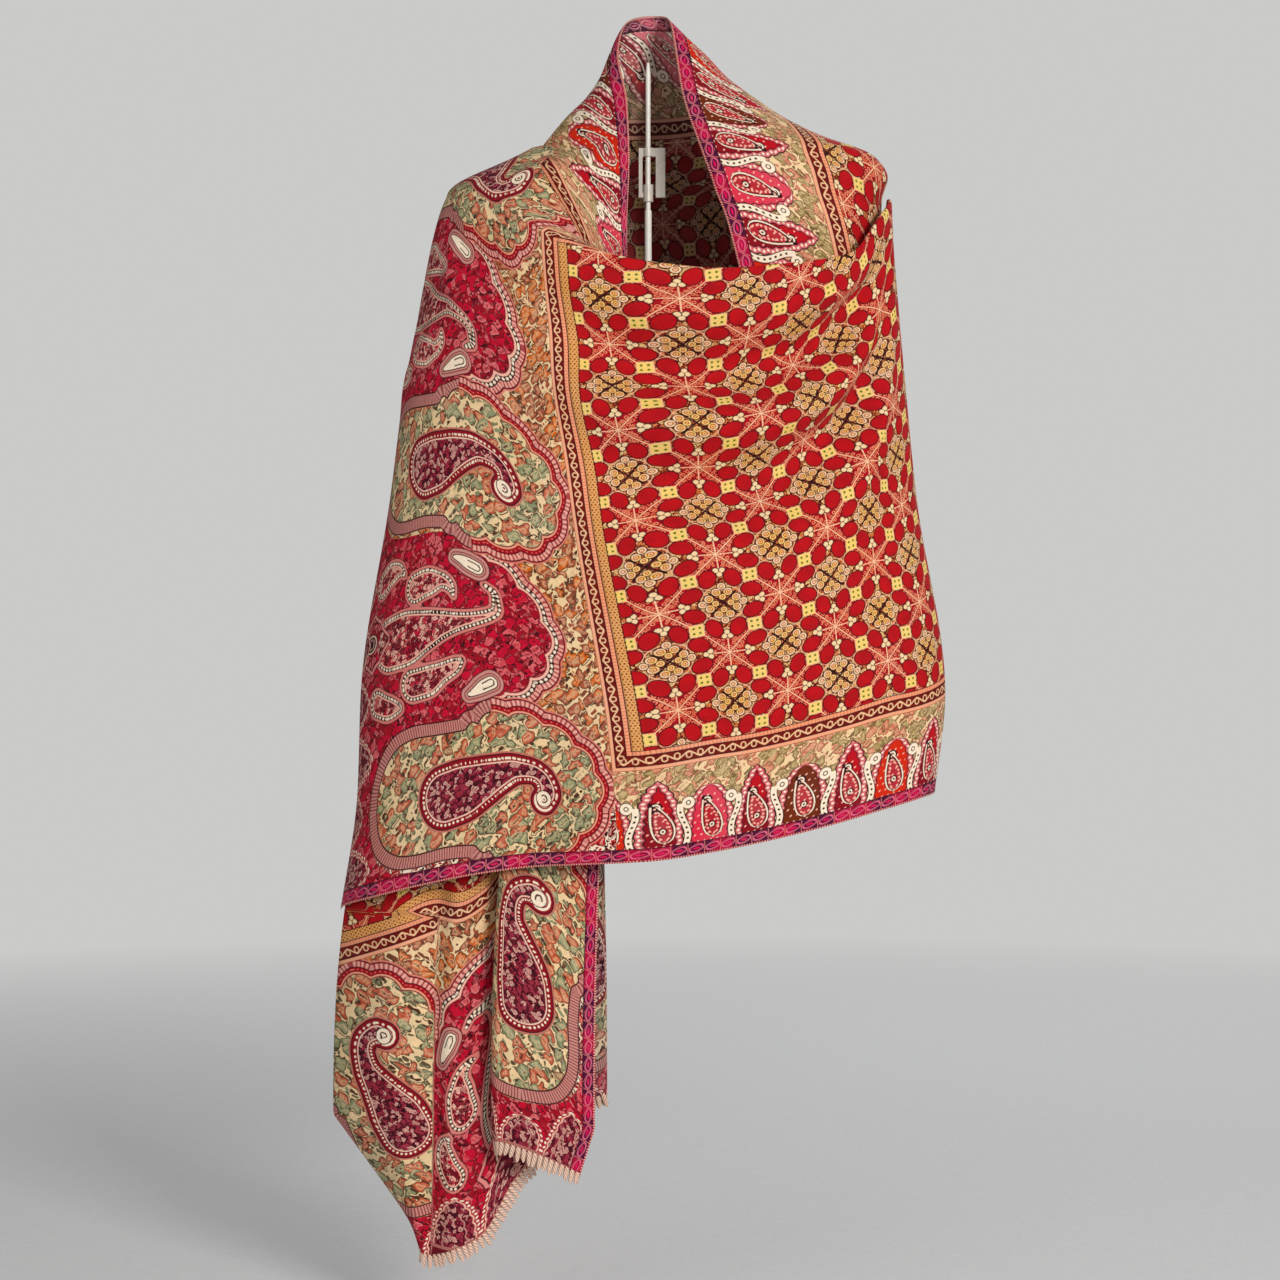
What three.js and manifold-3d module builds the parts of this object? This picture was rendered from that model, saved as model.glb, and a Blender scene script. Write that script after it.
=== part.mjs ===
// A Kashmiri shawl draped as it is worn, on a plain display rod, with no wearer in it. One length of cloth
// winds once and a half round the shoulders: it hangs as a pleated tail at the front left, stands as a collar
// round the neck, falls down the back, crosses the chest in a deep cowl, and is thrown over the left shoulder.
// Left and right are as seen from the front. Millimetres, +Z up, -Y is the front. The origin is the rod's foot.
import * as THREE from "three";
import Module from "manifold-3d";
import { mergeVertices } from "three/addons/utils/BufferGeometryUtils.js";

const wasm = await Module();
wasm.setup();

// Driving sizes of the cloth.
const CLOTH_WIDTH = 710;
const WALL = 1.6;
const SEAM_GAP = 0.8;

// Distances along the front from the seam at the right side, to the end panel's guard stripe and the fringe.
const GUARD_AT = 358;
const THROWN_EDGE_AT = 678;
// How far the outer layer lies outside the inner one: at the chest, the thrown end and its turned-in edge.
const FRONT_OUT = 17;
const THROWN_OUT = 10;
const EDGE_OUT = 10;
// Distances along the front over which the outer layer's rim and turned-in edge come away from the inner one,
// and over which the chest gives way to the thrown end.
const LEAVES_SEAM = { rim: 90, edge: 60 };
const THROWN_FROM = 340;
const THROWN_FADE = 130;

// Driving sizes of the display rod, its clip, and the yoke that carries the shoulders.
const ROD_JOINT = 548;
const ROD_TOP = 686;
const ROD_LOWER_RADIUS = 3.4;
const ROD_UPPER_RADIUS = 2.4;
const ROD_TIP_RADIUS = 1.2;
const ROD_TIP = 11;
const CLIP = { bottom: 556, top: 606, collar: 16, bar: 8, wing: 46, wall: 2.2, left: -8.6, right: 16 };
const CLIP_LEFT_WING = 3.5;
const CLIP_RIGHT_WING = 8.8;
const CLIP_FOOT = 4;
const YOKE = { hub: 380, hubHeight: 16, hubWall: 3, armX: 8, armZ: 8, arm: 4, pad: 7, padGap: 0.5 };
// Each pad lies under the cloth at this point of the back stretch's grid.
const PADS = [
  { column: 9, row: 5 },
  { column: 28, row: 6 },
];
const FIT_GAP = 0.3;
// How far a hole's cutter runs past what it cuts.
const PAST = 1;
const ROUND_SIDES = 20;
const ARM_SIDES = 6;
const PAD_SIDES = [12, 8];

// Fringe: short strands twisted from the warp ends, rooted in a narrow strip just off the cloth's edge.
const FRINGE = { strands: 60, gap: 0.9, strip: 3, length: 13, wall: 1.2, share: 0.46 };

const DEGREE = Math.PI / 180;
// Sections round the body are superellipses: 2 would be an ellipse, and more is squarer.
const SQUARENESS = 2.3;

// The inner stretch round the body: at each height, how far it reaches to the left, right, front and back.
const RINGS = [
  { z: -110, left: -276, right: 246, front: -105, back: 122 },
  { z: 9, left: -259, right: 257, front: -104, back: 122 },
  { z: 100, left: -256, right: 267, front: -102, back: 120 },
  { z: 279, left: -229, right: 241, front: -96, back: 114 },
  { z: 372, left: -217, right: 232, front: -92, back: 110 },
  { z: 465, left: -200, right: 224, front: -89, back: 106 },
  { z: 521, left: -189, right: 220, front: -86, back: 100 },
  { z: 558, left: -177, right: 219, front: -80, back: 92 },
  { z: 577, left: -157, right: 222, front: -75, back: 86 },
  { z: 595, left: -108, right: 211, front: -68, back: 78 },
  { z: 614, left: -92, right: 163, front: -60, back: 66 },
  { z: 632, left: -77, right: 127, front: -52, back: 56 },
  { z: 651, left: -58, right: 99, front: -44, back: 48 },
  { z: 670, left: -45, right: 74, front: -36, back: 41 },
  { z: 690, left: -37, right: 56, front: -28, back: 36 },
  { z: 712, left: -28, right: 36, front: -18, back: 32 },
  { z: 736, left: -14, right: 20, front: -8, back: 30 },
];

// The back stretch, in columns along its length, from the collar's free edge over the shoulder line to the
// bottom hem. Turn is the angle round the body: 0 front, 90 left, 180 back, 270 right. Past the column at the
// seam, the stretch is only as deep as the shoulder line, and goes under the cowl.
const BACK_COLUMNS = [
  { at: 0, edgeX: -19, edgeY: -76, edgeZ: 428, turn: 9, midTurn: 25, midZ: 428, endTurn: 40, endZ: 428 },
  { at: 0.1, edgeX: -19, edgeY: -84, edgeZ: 515, turn: 7, midTurn: 40, midZ: 430, endTurn: 62, endZ: 330 },
  { at: 0.2, edgeX: -17, edgeY: -72, edgeZ: 580, turn: 13, midTurn: 55, midZ: 470, endTurn: 76, endZ: 180 },
  { at: 0.3, edgeX: -19, edgeY: -44, edgeZ: 640, turn: 24, midTurn: 76, midZ: 520, endTurn: 92, endZ: 60 },
  { at: 0.37, edgeX: -27.5, edgeY: -19, edgeZ: 690, turn: 52, midTurn: 98, midZ: 540, endTurn: 116, endZ: 0 },
  { at: 0.42, edgeX: -23, edgeY: -8, edgeZ: 716, turn: 66, midTurn: 124, midZ: 545, endTurn: 140, endZ: -5 },
  { at: 0.46, edgeX: -12, edgeY: 17, edgeZ: 731, turn: 128, midTurn: 148, midZ: 548, endTurn: 158, endZ: -8 },
  { at: 0.5, edgeX: 4, edgeY: 28, edgeZ: 736, turn: 182, midTurn: 172, midZ: 550, endTurn: 176, endZ: -8 },
  { at: 0.54, edgeX: 16, edgeY: 16, edgeZ: 732, turn: 236, midTurn: 196, midZ: 550, endTurn: 194, endZ: -6 },
  { at: 0.58, edgeX: 21, edgeY: -9, edgeZ: 719, turn: 314, midTurn: 214, midZ: 550, endTurn: 210, endZ: -4 },
  { at: 0.63, edgeX: 24, edgeY: -24, edgeZ: 697, turn: 339, midTurn: 234, midZ: 550, endTurn: 228, endZ: -1 },
  { at: 0.71, edgeX: 31, edgeY: -44, edgeZ: 648, turn: 355, midTurn: 250, midZ: 548, endTurn: 247, endZ: 5 },
  { at: 0.78, edgeX: 45, edgeY: -65, edgeZ: 600, turn: 360, midTurn: 262, midZ: 545, endTurn: 262, endZ: 12 },
  { at: 0.84, edgeX: 60, edgeY: -79, edgeZ: 557, turn: 352, midTurn: 276, midZ: 530, endTurn: 262, endZ: 12 },
  { at: 0.9, edgeX: 71, edgeY: -84, edgeZ: 529, turn: 348, midTurn: 290, midZ: 508, endTurn: 262, endZ: 12 },
  { at: 0.95, edgeX: 81, edgeY: -85, edgeZ: 492, turn: 345, midTurn: 304, midZ: 482, endTurn: 262, endZ: 12 },
  { at: 1, edgeX: 93, edgeY: -84, edgeZ: 446, turn: 341, midTurn: 318, midZ: 452, endTurn: 262, endZ: 12 },
];
const SEAM_AT = 0.78;
// How fast a column turns away from the collar, and how late it drops, above the shoulder line.
const COLLAR_TURN = 2;
const COLLAR_DROP = 1.35;
// How soon a column leaves its place on the collar's free edge for its place on the body.
const COLLAR_LEAVES = 3;
// Under the cowl the stretch is drawn in, from the seam's turn on, below this height.
const UNDER_COWL = { depth: 5, turn: 262, over: 14, top: 575, fade: 25 };

// The outer layer, in columns from the seam at the right side, round the front, to the thrown end's fringe.
// Each runs up from the hem to the rim, where it turns in over the cowl or the shoulder, to its hidden edge.
const OUTER_COLUMNS = [
  { u: 0, hemTurn: 262, hemZ: 12, rimTurn: 262, rimZ: 535, edgeTurn: 262, edgeZ: 539, crest: 1 },
  { u: 12, hemTurn: 266, hemZ: 12, rimTurn: 266, rimZ: 536, edgeTurn: 266, edgeZ: 540, crest: 1 },
  { u: 30, hemTurn: 272, hemZ: 11, rimTurn: 273, rimZ: 554, edgeTurn: 273, edgeZ: 560, crest: 3 },
  { u: 75, hemTurn: 291, hemZ: 8, rimTurn: 297, rimZ: 529, edgeTurn: 298, edgeZ: 504, crest: 12 },
  { u: 129, hemTurn: 310, hemZ: -2, rimTurn: 314, rimZ: 492, edgeTurn: 313, edgeZ: 436, crest: 12 },
  { u: 182, hemTurn: 325, hemZ: -15, rimTurn: 330, rimZ: 482, edgeTurn: 328, edgeZ: 398, crest: 12 },
  { u: 254, hemTurn: 341.5, hemZ: -31, rimTurn: 351, rimZ: 475, edgeTurn: 348, edgeZ: 384, crest: 12 },
  { u: 300, hemTurn: 350, hemZ: -39, rimTurn: 365, rimZ: 482, edgeTurn: 361, edgeZ: 424, crest: 12 },
  { u: 358, hemTurn: 360, hemZ: -47, rimTurn: 382, rimZ: 505, edgeTurn: 373, edgeZ: 474, crest: 8 },
  { u: 414, hemTurn: 369, hemZ: -50, rimTurn: 396, rimZ: 532, edgeTurn: 385, edgeZ: 549, crest: 10 },
  { u: 460, hemTurn: 378, hemZ: -53, rimTurn: 411, rimZ: 554, edgeTurn: 402, edgeZ: 584, crest: 14 },
  { u: 505, hemTurn: 388, hemZ: -59, rimTurn: 427, rimZ: 560, edgeTurn: 424, edgeZ: 601, crest: 20 },
  { u: 569, hemTurn: 404, hemZ: -72, rimTurn: 447, rimZ: 559, edgeTurn: 455, edgeZ: 602, crest: 22 },
  { u: 624, hemTurn: 422, hemZ: -86, rimTurn: 468, rimZ: 553, edgeTurn: 480, edgeZ: 595, crest: 27 },
  { u: 678, hemTurn: 446, hemZ: -99, rimTurn: 492, rimZ: 541, edgeTurn: 505, edgeZ: 581, crest: 30 },
];
// The share of a crest's height at which the cloth starts to turn in.
const CREST_START = 0.6;
// How much the columns bow between the hem and the rim.
const COLUMN_BOW = 1.3;
// How much a column's points crowd towards the folds, and its share that lies turned in past the rim.
const COLUMN_CROWD = 1.45;
const TURNED_IN = 0.2;

// The largest folds of the outer layer: each runs from one [turn, height] to another, and sags between them.
// Height is how far it stands out of the cloth, less than nothing for a trough, and width is half its width.
const FOLDS = [
  { from: [286, 560], to: [388, 486], sag: 76, height: 7, width: 22 },
  { from: [288, 540], to: [388, 448], sag: 100, height: -11, width: 28 },
  { from: [288, 528], to: [386, 400], sag: 118, height: 7, width: 30 },
  { from: [288, 512], to: [382, 332], sag: 122, height: -12, width: 34 },
  { from: [292, 440], to: [376, 250], sag: 112, height: 6, width: 46 },
  { from: [388, 452], to: [440, 548], sag: -6, height: -3, width: 18 },
  { from: [386, 410], to: [430, 508], sag: 8, height: 5, width: 20 },
];
// How fast a fold grows from its ends, and the band under the rim where the folds die away.
const FOLD_EASE = 3.4;
const FOLD_TOP = { over: 6, fade: 40 };
// The soft upright fold near the middle of the hem.
const HEM_FOLD = { turn: 373, top: 140, reach: 190, width: 5, height: 6, spread: 0.12 };
// The soft upright folds of the back.
const BACK_FOLD = { height: 5, perDegree: 0.15, top: 560, reach: 300, from: 100, to: 258, fade: 30 };

// The tail's pleats, from its left hem to its right one: how far along the width of the cloth each turn lies,
// where it is at the top, in the middle and at the fringe, how deep it lies, and how high its fringe ends.
const TAIL_TURNS = [
  { v: 0, topX: -68, midX: -60, endX: -58, y: -18, endZ: -272 },
  { v: 24, topX: -58, midX: -40, endX: -40, y: -22, endZ: -270 },
  { v: 46, topX: -56, midX: -38, endX: -38, y: -32, endZ: -268 },
  { v: 100, topX: -76, midX: -86, endX: -84, y: -26, endZ: -288 },
  { v: 180, topX: -108, midX: -160, endX: -136, y: -18, endZ: -330 },
  { v: 260, topX: -140, midX: -240, endX: -186, y: -6, endZ: -374 },
  { v: 312, topX: -160, midX: -286, endX: -211, y: -4, endZ: -390 },
  { v: 330, topX: -166, midX: -291, endX: -216, y: -10, endZ: -392 },
  { v: 355, topX: -160, midX: -268, endX: -212, y: -34, endZ: -396 },
  { v: 400, topX: -146, midX: -224, endX: -205, y: -58, endZ: -408 },
  { v: 425, topX: -136, midX: -197, endX: -198, y: -54, endZ: -411 },
  { v: 448, topX: -126, midX: -178, endX: -176, y: -66, endZ: -404 },
  { v: 475, topX: -112, midX: -152, endX: -150, y: -62, endZ: -391 },
  { v: 505, topX: -94, midX: -124, endX: -122, y: -52, endZ: -345 },
  { v: 532, topX: -76, midX: -98, endX: -90, y: -56, endZ: -308 },
  { v: 548, topX: -72, midX: -94, endX: -88, y: -66, endZ: -303 },
  { v: 575, topX: -82, midX: -122, endX: -118, y: -70, endZ: -303 },
  { v: 596, topX: -90, midX: -141, endX: -139, y: -78, endZ: -303 },
  { v: 612, topX: -84, midX: -136, endX: -134, y: -86, endZ: -302 },
  { v: 660, topX: -50, midX: -92, endX: -100, y: -90, endZ: -312 },
  { v: 710, topX: -19, midX: -48, endX: -61, y: -84, endZ: -331 },
];
const TAIL_TOP_Z = 427.4;
const TAIL_MID_Z = -290;
// The pleats close up towards this depth at the top.
const TAIL_TOP = { y: -58, squeeze: 0.66, gather: 1.4, climb: 700, reach: 0.1 };
// The share of the tail's width that the back stretch takes over at the top.
const TAIL_FRONT_PANEL = 98;

// The smooth curve through a table's rows at any value of its key column.
function through(table, key, column, value) {
  const last = table.length - 1;
  const x = Math.min(Math.max(value, table[0][key]), table[last][key]);
  let i = 0;
  while (i < last - 1 && x > table[i + 1][key]) i++;
  const rise = (j) => (table[j + 1][column] - table[j][column]) / (table[j + 1][key] - table[j][key]);
  // Each row's slope is such that the curve never runs past a row.
  const slope = (j) => {
    if (j === 0 || j === last) return rise(Math.min(j, last - 1));
    const before = rise(j - 1);
    const after = rise(j);
    return before * after <= 0 ? 0 : (2 * before * after) / (before + after);
  };
  const from = table[i];
  const to = table[i + 1];
  const span = to[key] - from[key];
  const t = (x - from[key]) / span;
  const t2 = t * t;
  const t3 = t2 * t;
  return (
    (2 * t3 - 3 * t2 + 1) * from[column] +
    (t3 - 2 * t2 + t) * span * slope(i) +
    (3 * t2 - 2 * t3) * to[column] +
    (t3 - t2) * span * slope(i + 1)
  );
}

const mix = (a, b, t) => a + (b - a) * t;
function smooth(t) {
  const c = Math.min(Math.max(t, 0), 1);
  return c * c * (3 - 2 * c);
}
const squared = (value) => Math.sign(value) * Math.abs(value) ** (2 / SQUARENESS);

// The point at a turn and a height, so far outside the inner stretch.
function onBody(turn, z, out) {
  const ring = (column) => through(RINGS, "z", column, z);
  const middle = (ring("left") + ring("right")) / 2;
  const across = (ring("right") - ring("left")) / 2 + out;
  const facing = squared(Math.cos(turn * DEGREE));
  const depth = (facing > 0 ? -ring("front") : ring("back")) + out;
  return new THREE.Vector3(middle - across * squared(Math.sin(turn * DEGREE)), -depth * facing, z);
}

// A point of the tail: v is the place across the cloth, and up runs from the fringe to the hidden top.
function tailPoint(v, up) {
  const column = (name) => through(TAIL_TURNS, "v", name, v);
  const z = mix(column("endZ"), TAIL_TOP_Z, up);
  const high = smooth((z - TAIL_MID_Z) / (TAIL_TOP_Z - TAIL_MID_Z)) ** TAIL_TOP.gather;
  const low = Math.min(Math.max((z - column("endZ")) / (TAIL_MID_Z - column("endZ")), 0), 1);
  const lowX = mix(column("endX"), column("midX"), low);
  const x = z < TAIL_MID_Z ? lowX : mix(column("midX"), column("topX"), high);
  const y = TAIL_TOP.y + (column("y") - TAIL_TOP.y) * mix(1, TAIL_TOP.squeeze, high);
  return new THREE.Vector3(x, y, z);
}

// A point of the back stretch: along is its share of the length, and down its share of the way down from the
// collar, with the shoulder line at a half.
function backPoint(along, down) {
  const column = (name) => through(BACK_COLUMNS, "at", name, along);
  const above = Math.min(Math.max(down * 2, 0), 1);
  const below = Math.max(down * 2 - 1, 0);
  const collarTurn = mix(column("turn"), column("midTurn"), 1 - (1 - above) ** COLLAR_TURN);
  const turn = mix(collarTurn, column("endTurn"), below);
  const z = mix(mix(column("edgeZ"), column("midZ"), above ** COLLAR_DROP), column("endZ"), below);
  const fold = BACK_FOLD;
  const behind = smooth((turn - fold.from) / fold.fade) * smooth((fold.to - turn) / fold.fade);
  const wave = fold.height * Math.cos((turn - 180) * fold.perDegree);
  const low = smooth((fold.top - z) / fold.reach);
  const cowl = UNDER_COWL;
  const under = smooth((turn - cowl.turn) / cowl.over) * smooth((cowl.top - z) / cowl.fade);
  const point = onBody(turn, z, wave * behind * low - cowl.depth * under);
  const edge = new THREE.Vector3(column("edgeX"), column("edgeY"), column("edgeZ"));
  edge.sub(onBody(column("turn"), column("edgeZ"), 0));
  point.addScaledVector(edge, (1 - above) ** COLLAR_LEAVES);
  // Near its first column the stretch rises straight from the top of the tail.
  const tail = tailPoint(CLOTH_WIDTH - TAIL_FRONT_PANEL * down, 1);
  tail.z += SEAM_GAP + along * TAIL_TOP.climb;
  return point.lerp(tail, 1 - smooth(along / TAIL_TOP.reach));
}

// How far the folds raise the outer layer at a turn and a height.
function foldHeight(turn, z) {
  let raised = 0;
  for (const fold of FOLDS) {
    const t = (turn - fold.from[0]) / (fold.to[0] - fold.from[0]);
    if (t <= 0 || t >= 1) continue;
    const line = mix(fold.from[1], fold.to[1], t) - fold.sag * 4 * t * (1 - t);
    const away = (z - line) / fold.width;
    raised += fold.height * Math.exp(-away * away) * smooth(Math.min(t, 1 - t) * FOLD_EASE);
  }
  const beside = (turn - HEM_FOLD.turn) / HEM_FOLD.width;
  const low = smooth((HEM_FOLD.top - z) / HEM_FOLD.reach);
  return raised + HEM_FOLD.height * low * Math.tanh(-beside) * Math.exp(-beside * beside * HEM_FOLD.spread);
}

// A point of the outer layer: up runs from the hem, 0, to the rim, 1, and on to the turned-in edge, 2.
function outerPoint(u, up) {
  const column = (name) => through(OUTER_COLUMNS, "u", name, u);
  const thrown = smooth((u - THROWN_FROM) / THROWN_FADE);
  const out = mix(FRONT_OUT * smooth(u / LEAVES_SEAM.rim), THROWN_OUT, thrown);
  const rimZ = column("rimZ");
  const climb = Math.max(1 - Math.max(1 - up, 0) ** COLUMN_CROWD, 0);
  const turn = mix(column("hemTurn"), column("rimTurn"), climb ** COLUMN_BOW);
  const z = mix(column("hemZ"), rimZ, climb);
  const raised = foldHeight(turn, z) * smooth((rimZ + FOLD_TOP.over - z) / FOLD_TOP.fade);
  const rim = onBody(turn, z, out + raised);
  if (up <= 1) return rim;
  const edgeOut = EDGE_OUT * smooth(u / LEAVES_SEAM.edge);
  const edge = onBody(column("edgeTurn"), column("edgeZ"), edgeOut);
  const lift = rim.clone().setZ(rimZ + column("crest") * CREST_START);
  const over = rim.clone().lerp(edge, 0.5);
  over.z = rimZ + column("crest");
  return new THREE.CubicBezierCurve3(rim, lift, over, edge).getPoint(up - 1);
}

// The way out of a surface at a grid place, from the points a step to each side of it.
function outward(pointAt, i, j, rows, step) {
  const along = pointAt(i + step, j).sub(pointAt(i - step, j));
  const across = pointAt(i, Math.min(j + step, rows)).sub(pointAt(i, Math.max(j - step, 0)));
  return along.cross(across).normalize();
}

// A wall of cloth through a grid of points, half its thickness to each side, closed along its rims. Only the
// cells that has names are there. Step is how far to each side the points are that give its way out.
function wall(pointAt, columns, rows, thickness, has = () => true, step = 0.25) {
  const positions = [];
  for (const side of [0.5, -0.5]) {
    for (let i = 0; i <= columns; i++) {
      for (let j = 0; j <= rows; j++) {
        const offset = outward(pointAt, i, j, rows, step).multiplyScalar(side * thickness);
        positions.push(...pointAt(i, j).add(offset).toArray());
      }
    }
  }
  const count = (columns + 1) * (rows + 1);
  const index = (side, i, j) => side * count + i * (rows + 1) + j;
  const faces = [];
  const quad = (a, b, c, d) => faces.push(a, b, c, a, c, d);
  const rim = (i, j, k, l) => quad(index(0, k, l), index(0, i, j), index(1, i, j), index(1, k, l));
  const there = (i, j) => i >= 0 && j >= 0 && i < columns && j < rows && has(i, j);
  for (let i = 0; i < columns; i++) {
    for (let j = 0; j < rows; j++) {
      if (!there(i, j)) continue;
      quad(index(0, i, j), index(0, i + 1, j), index(0, i + 1, j + 1), index(0, i, j + 1));
      quad(index(1, i, j), index(1, i, j + 1), index(1, i + 1, j + 1), index(1, i + 1, j));
      if (!there(i, j - 1)) rim(i, j, i + 1, j);
      if (!there(i, j + 1)) rim(i + 1, j + 1, i, j + 1);
      if (!there(i - 1, j)) rim(i, j + 1, i, j);
      if (!there(i + 1, j)) rim(i + 1, j, i + 1, j + 1);
    }
  }
  const geometry = new THREE.BufferGeometry();
  geometry.setAttribute("position", new THREE.Float32BufferAttribute(positions, 3));
  geometry.setIndex(faces);
  // The points no cell uses are dropped.
  return mergeVertices(geometry.toNonIndexed(), 1e-4);
}

// A sheet of cloth through a surface given in shares of its two directions.
function sheet(surface, columns, rows) {
  return wall((i, j) => surface(i / columns, j / rows), columns, rows, WALL);
}

// Fringe: a strip along an edge, with strands that run on from it. It is given the edge's points, and the
// cloth's points just inside the edge, both by their share of its length.
function fringe(edgeAt, insideAt) {
  const reach = [FRINGE.gap, FRINGE.gap + FRINGE.strip, FRINGE.gap + FRINGE.length];
  const pointAt = (i, j) => {
    const share = Math.min((Math.floor(i / 2) + (i % 2) * FRINGE.share) / FRINGE.strands, 1);
    const tangent = edgeAt(Math.min(share + 0.01, 1)).sub(edgeAt(Math.max(share - 0.01, 0))).normalize();
    const hang = edgeAt(share).sub(insideAt(share));
    hang.addScaledVector(tangent, -hang.dot(tangent)).normalize();
    return edgeAt(share).addScaledVector(hang, reach[j]);
  };
  const inStripOrStrand = (i, j) => j === 0 || i % 2 === 0;
  return wall(pointAt, FRINGE.strands * 2 - 1, 2, FRINGE.wall, inStripOrStrand, 1);
}

// A closed geometry as a solid for joining, and back again.
function solid(geometry) {
  const bare = geometry.index ? geometry.clone() : mergeVertices(geometry);
  for (const name of ["normal", "uv"]) bare.deleteAttribute(name);
  const merged = mergeVertices(bare, 1e-4);
  const mesh = new wasm.Mesh({
    numProp: 3,
    vertProperties: merged.attributes.position.array,
    triVerts: new Uint32Array(merged.index.array),
  });
  return new wasm.Manifold(mesh);
}
function joined(pieces, holes = []) {
  const made = wasm.Manifold.union(pieces.map(solid));
  const mesh = (holes.length ? made.subtract(wasm.Manifold.union(holes.map(solid))) : made).getMesh();
  const geometry = new THREE.BufferGeometry();
  geometry.setAttribute("position", new THREE.Float32BufferAttribute(mesh.vertProperties, 3));
  geometry.setIndex(Array.from(mesh.triVerts));
  return geometry;
}

// An upright round piece from one height to another.
function upright(radius, from, to) {
  const cylinder = new THREE.CylinderGeometry(radius, radius, to - from, ROUND_SIDES);
  return cylinder.rotateX(Math.PI / 2).translate(0, 0, (from + to) / 2);
}
// A box between two corners.
function block([x0, y0, z0], [x1, y1, z1]) {
  const box = new THREE.BoxGeometry(x1 - x0, y1 - y0, z1 - z0);
  return box.translate((x0 + x1) / 2, (y0 + y1) / 2, (z0 + z1) / 2);
}

const cloth = (color) => new THREE.MeshStandardMaterial({ color, roughness: 0.9, metalness: 0 });
const MATERIALS = {
  field: cloth(0xa8202a),
  panel: cloth(0xc9a480),
  fringe: cloth(0xdcb496),
  rod: new THREE.MeshStandardMaterial({ color: 0xf1efe6, roughness: 0.35, metalness: 0.1 }),
  clip: new THREE.MeshStandardMaterial({ color: 0xe6e0cc, roughness: 0.25, metalness: 0 }),
  yoke: new THREE.MeshStandardMaterial({ color: 0xd8d6ce, roughness: 0.5, metalness: 0.2 }),
};

const shawl = new THREE.Group();
function add(name, geometry, material) {
  const mesh = new THREE.Mesh(geometry, MATERIALS[material]);
  mesh.name = name;
  shawl.add(mesh);
}

// The four stretches of the cloth that show.
const BACK_GRID = { columns: 36, seam: 28, rows: 18 };
const backShare = (i) => {
  const { columns, seam } = BACK_GRID;
  return i < seam ? (SEAM_AT * i) / seam : mix(SEAM_AT, 1, (i - seam) / (columns - seam));
};
const back = (i, j) => backPoint(backShare(i), j / BACK_GRID.rows);
const aboveOrBehind = (i, j) => i < BACK_GRID.seam || j < BACK_GRID.rows / 2;
add("back_stretch", wall(back, BACK_GRID.columns, BACK_GRID.rows, WALL, aboveOrBehind), "field");
const upTo = (t) => (t < 1 - TURNED_IN ? t / (1 - TURNED_IN) : 1 + (t - 1 + TURNED_IN) / TURNED_IN);
const frontAt = (s, t) => outerPoint(mix(SEAM_GAP, GUARD_AT - SEAM_GAP / 2, s), upTo(t));
add("front_stretch", sheet(frontAt, 22, 30), "field");
const thrownAt = (s, t) => outerPoint(mix(GUARD_AT + SEAM_GAP / 2, THROWN_EDGE_AT, s), upTo(t));
add("thrown_end", sheet(thrownAt, 18, 25), "panel");
add("tail_end", sheet((s, t) => tailPoint(CLOTH_WIDTH * (1 - s), t), 50, 10), "panel");

// The fringes of the two ends.
const INSIDE = 12;
const tailRow = (s, up) => tailPoint(CLOTH_WIDTH * (1 - s), up);
add("tail_fringe", fringe((s) => tailRow(s, 0), (s) => tailRow(s, INSIDE / CLOTH_WIDTH)), "fringe");
const thrownColumn = (s, u) => outerPoint(u, upTo(s));
const thrownEdge = (s) => thrownColumn(s, THROWN_EDGE_AT);
add("thrown_fringe", fringe(thrownEdge, (s) => thrownColumn(s, THROWN_EDGE_AT - INSIDE)), "fringe");

// The display rod in two sections, the clip that locks them, and the yoke that carries the shoulders.
add("rod_lower", upright(ROD_LOWER_RADIUS, 0, ROD_JOINT), "rod");
const tip = [
  [0, ROD_JOINT + FIT_GAP],
  [ROD_UPPER_RADIUS, ROD_JOINT + FIT_GAP],
  [ROD_UPPER_RADIUS, ROD_TOP - ROD_TIP],
  [ROD_TIP_RADIUS, ROD_TOP - 1],
  [0, ROD_TOP],
];
const upper = new THREE.LatheGeometry(tip.map(([r, z]) => new THREE.Vector2(r, z)), ROUND_SIDES);
add("rod_upper", upper.rotateX(Math.PI / 2), "rod");

const CLIP_HOLE = ROD_UPPER_RADIUS + FIT_GAP;
const wingBottom = CLIP.top - CLIP.wing;
add(
  "rod_clip",
  joined(
    [
      upright(CLIP_HOLE + CLIP.wall, CLIP.bottom, CLIP.bottom + CLIP.collar),
      upright(CLIP_HOLE + CLIP.wall, CLIP.top - CLIP.bar, CLIP.top),
      block([CLIP.left, -CLIP.wall, CLIP.top - CLIP.bar], [CLIP.right, CLIP.wall, CLIP.top]),
      block([CLIP.left, -CLIP.wall, wingBottom], [CLIP.left + CLIP_LEFT_WING, CLIP.wall, CLIP.top]),
      block([CLIP.right - CLIP_RIGHT_WING, -CLIP.wall, wingBottom], [CLIP.right, CLIP.wall, CLIP.top]),
      block([CLIP.left, -CLIP.wall, wingBottom], [0, CLIP.wall, wingBottom + CLIP_FOOT]),
    ],
    [upright(CLIP_HOLE, CLIP.bottom - PAST, CLIP.top + PAST)],
  ),
  "clip",
);

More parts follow.
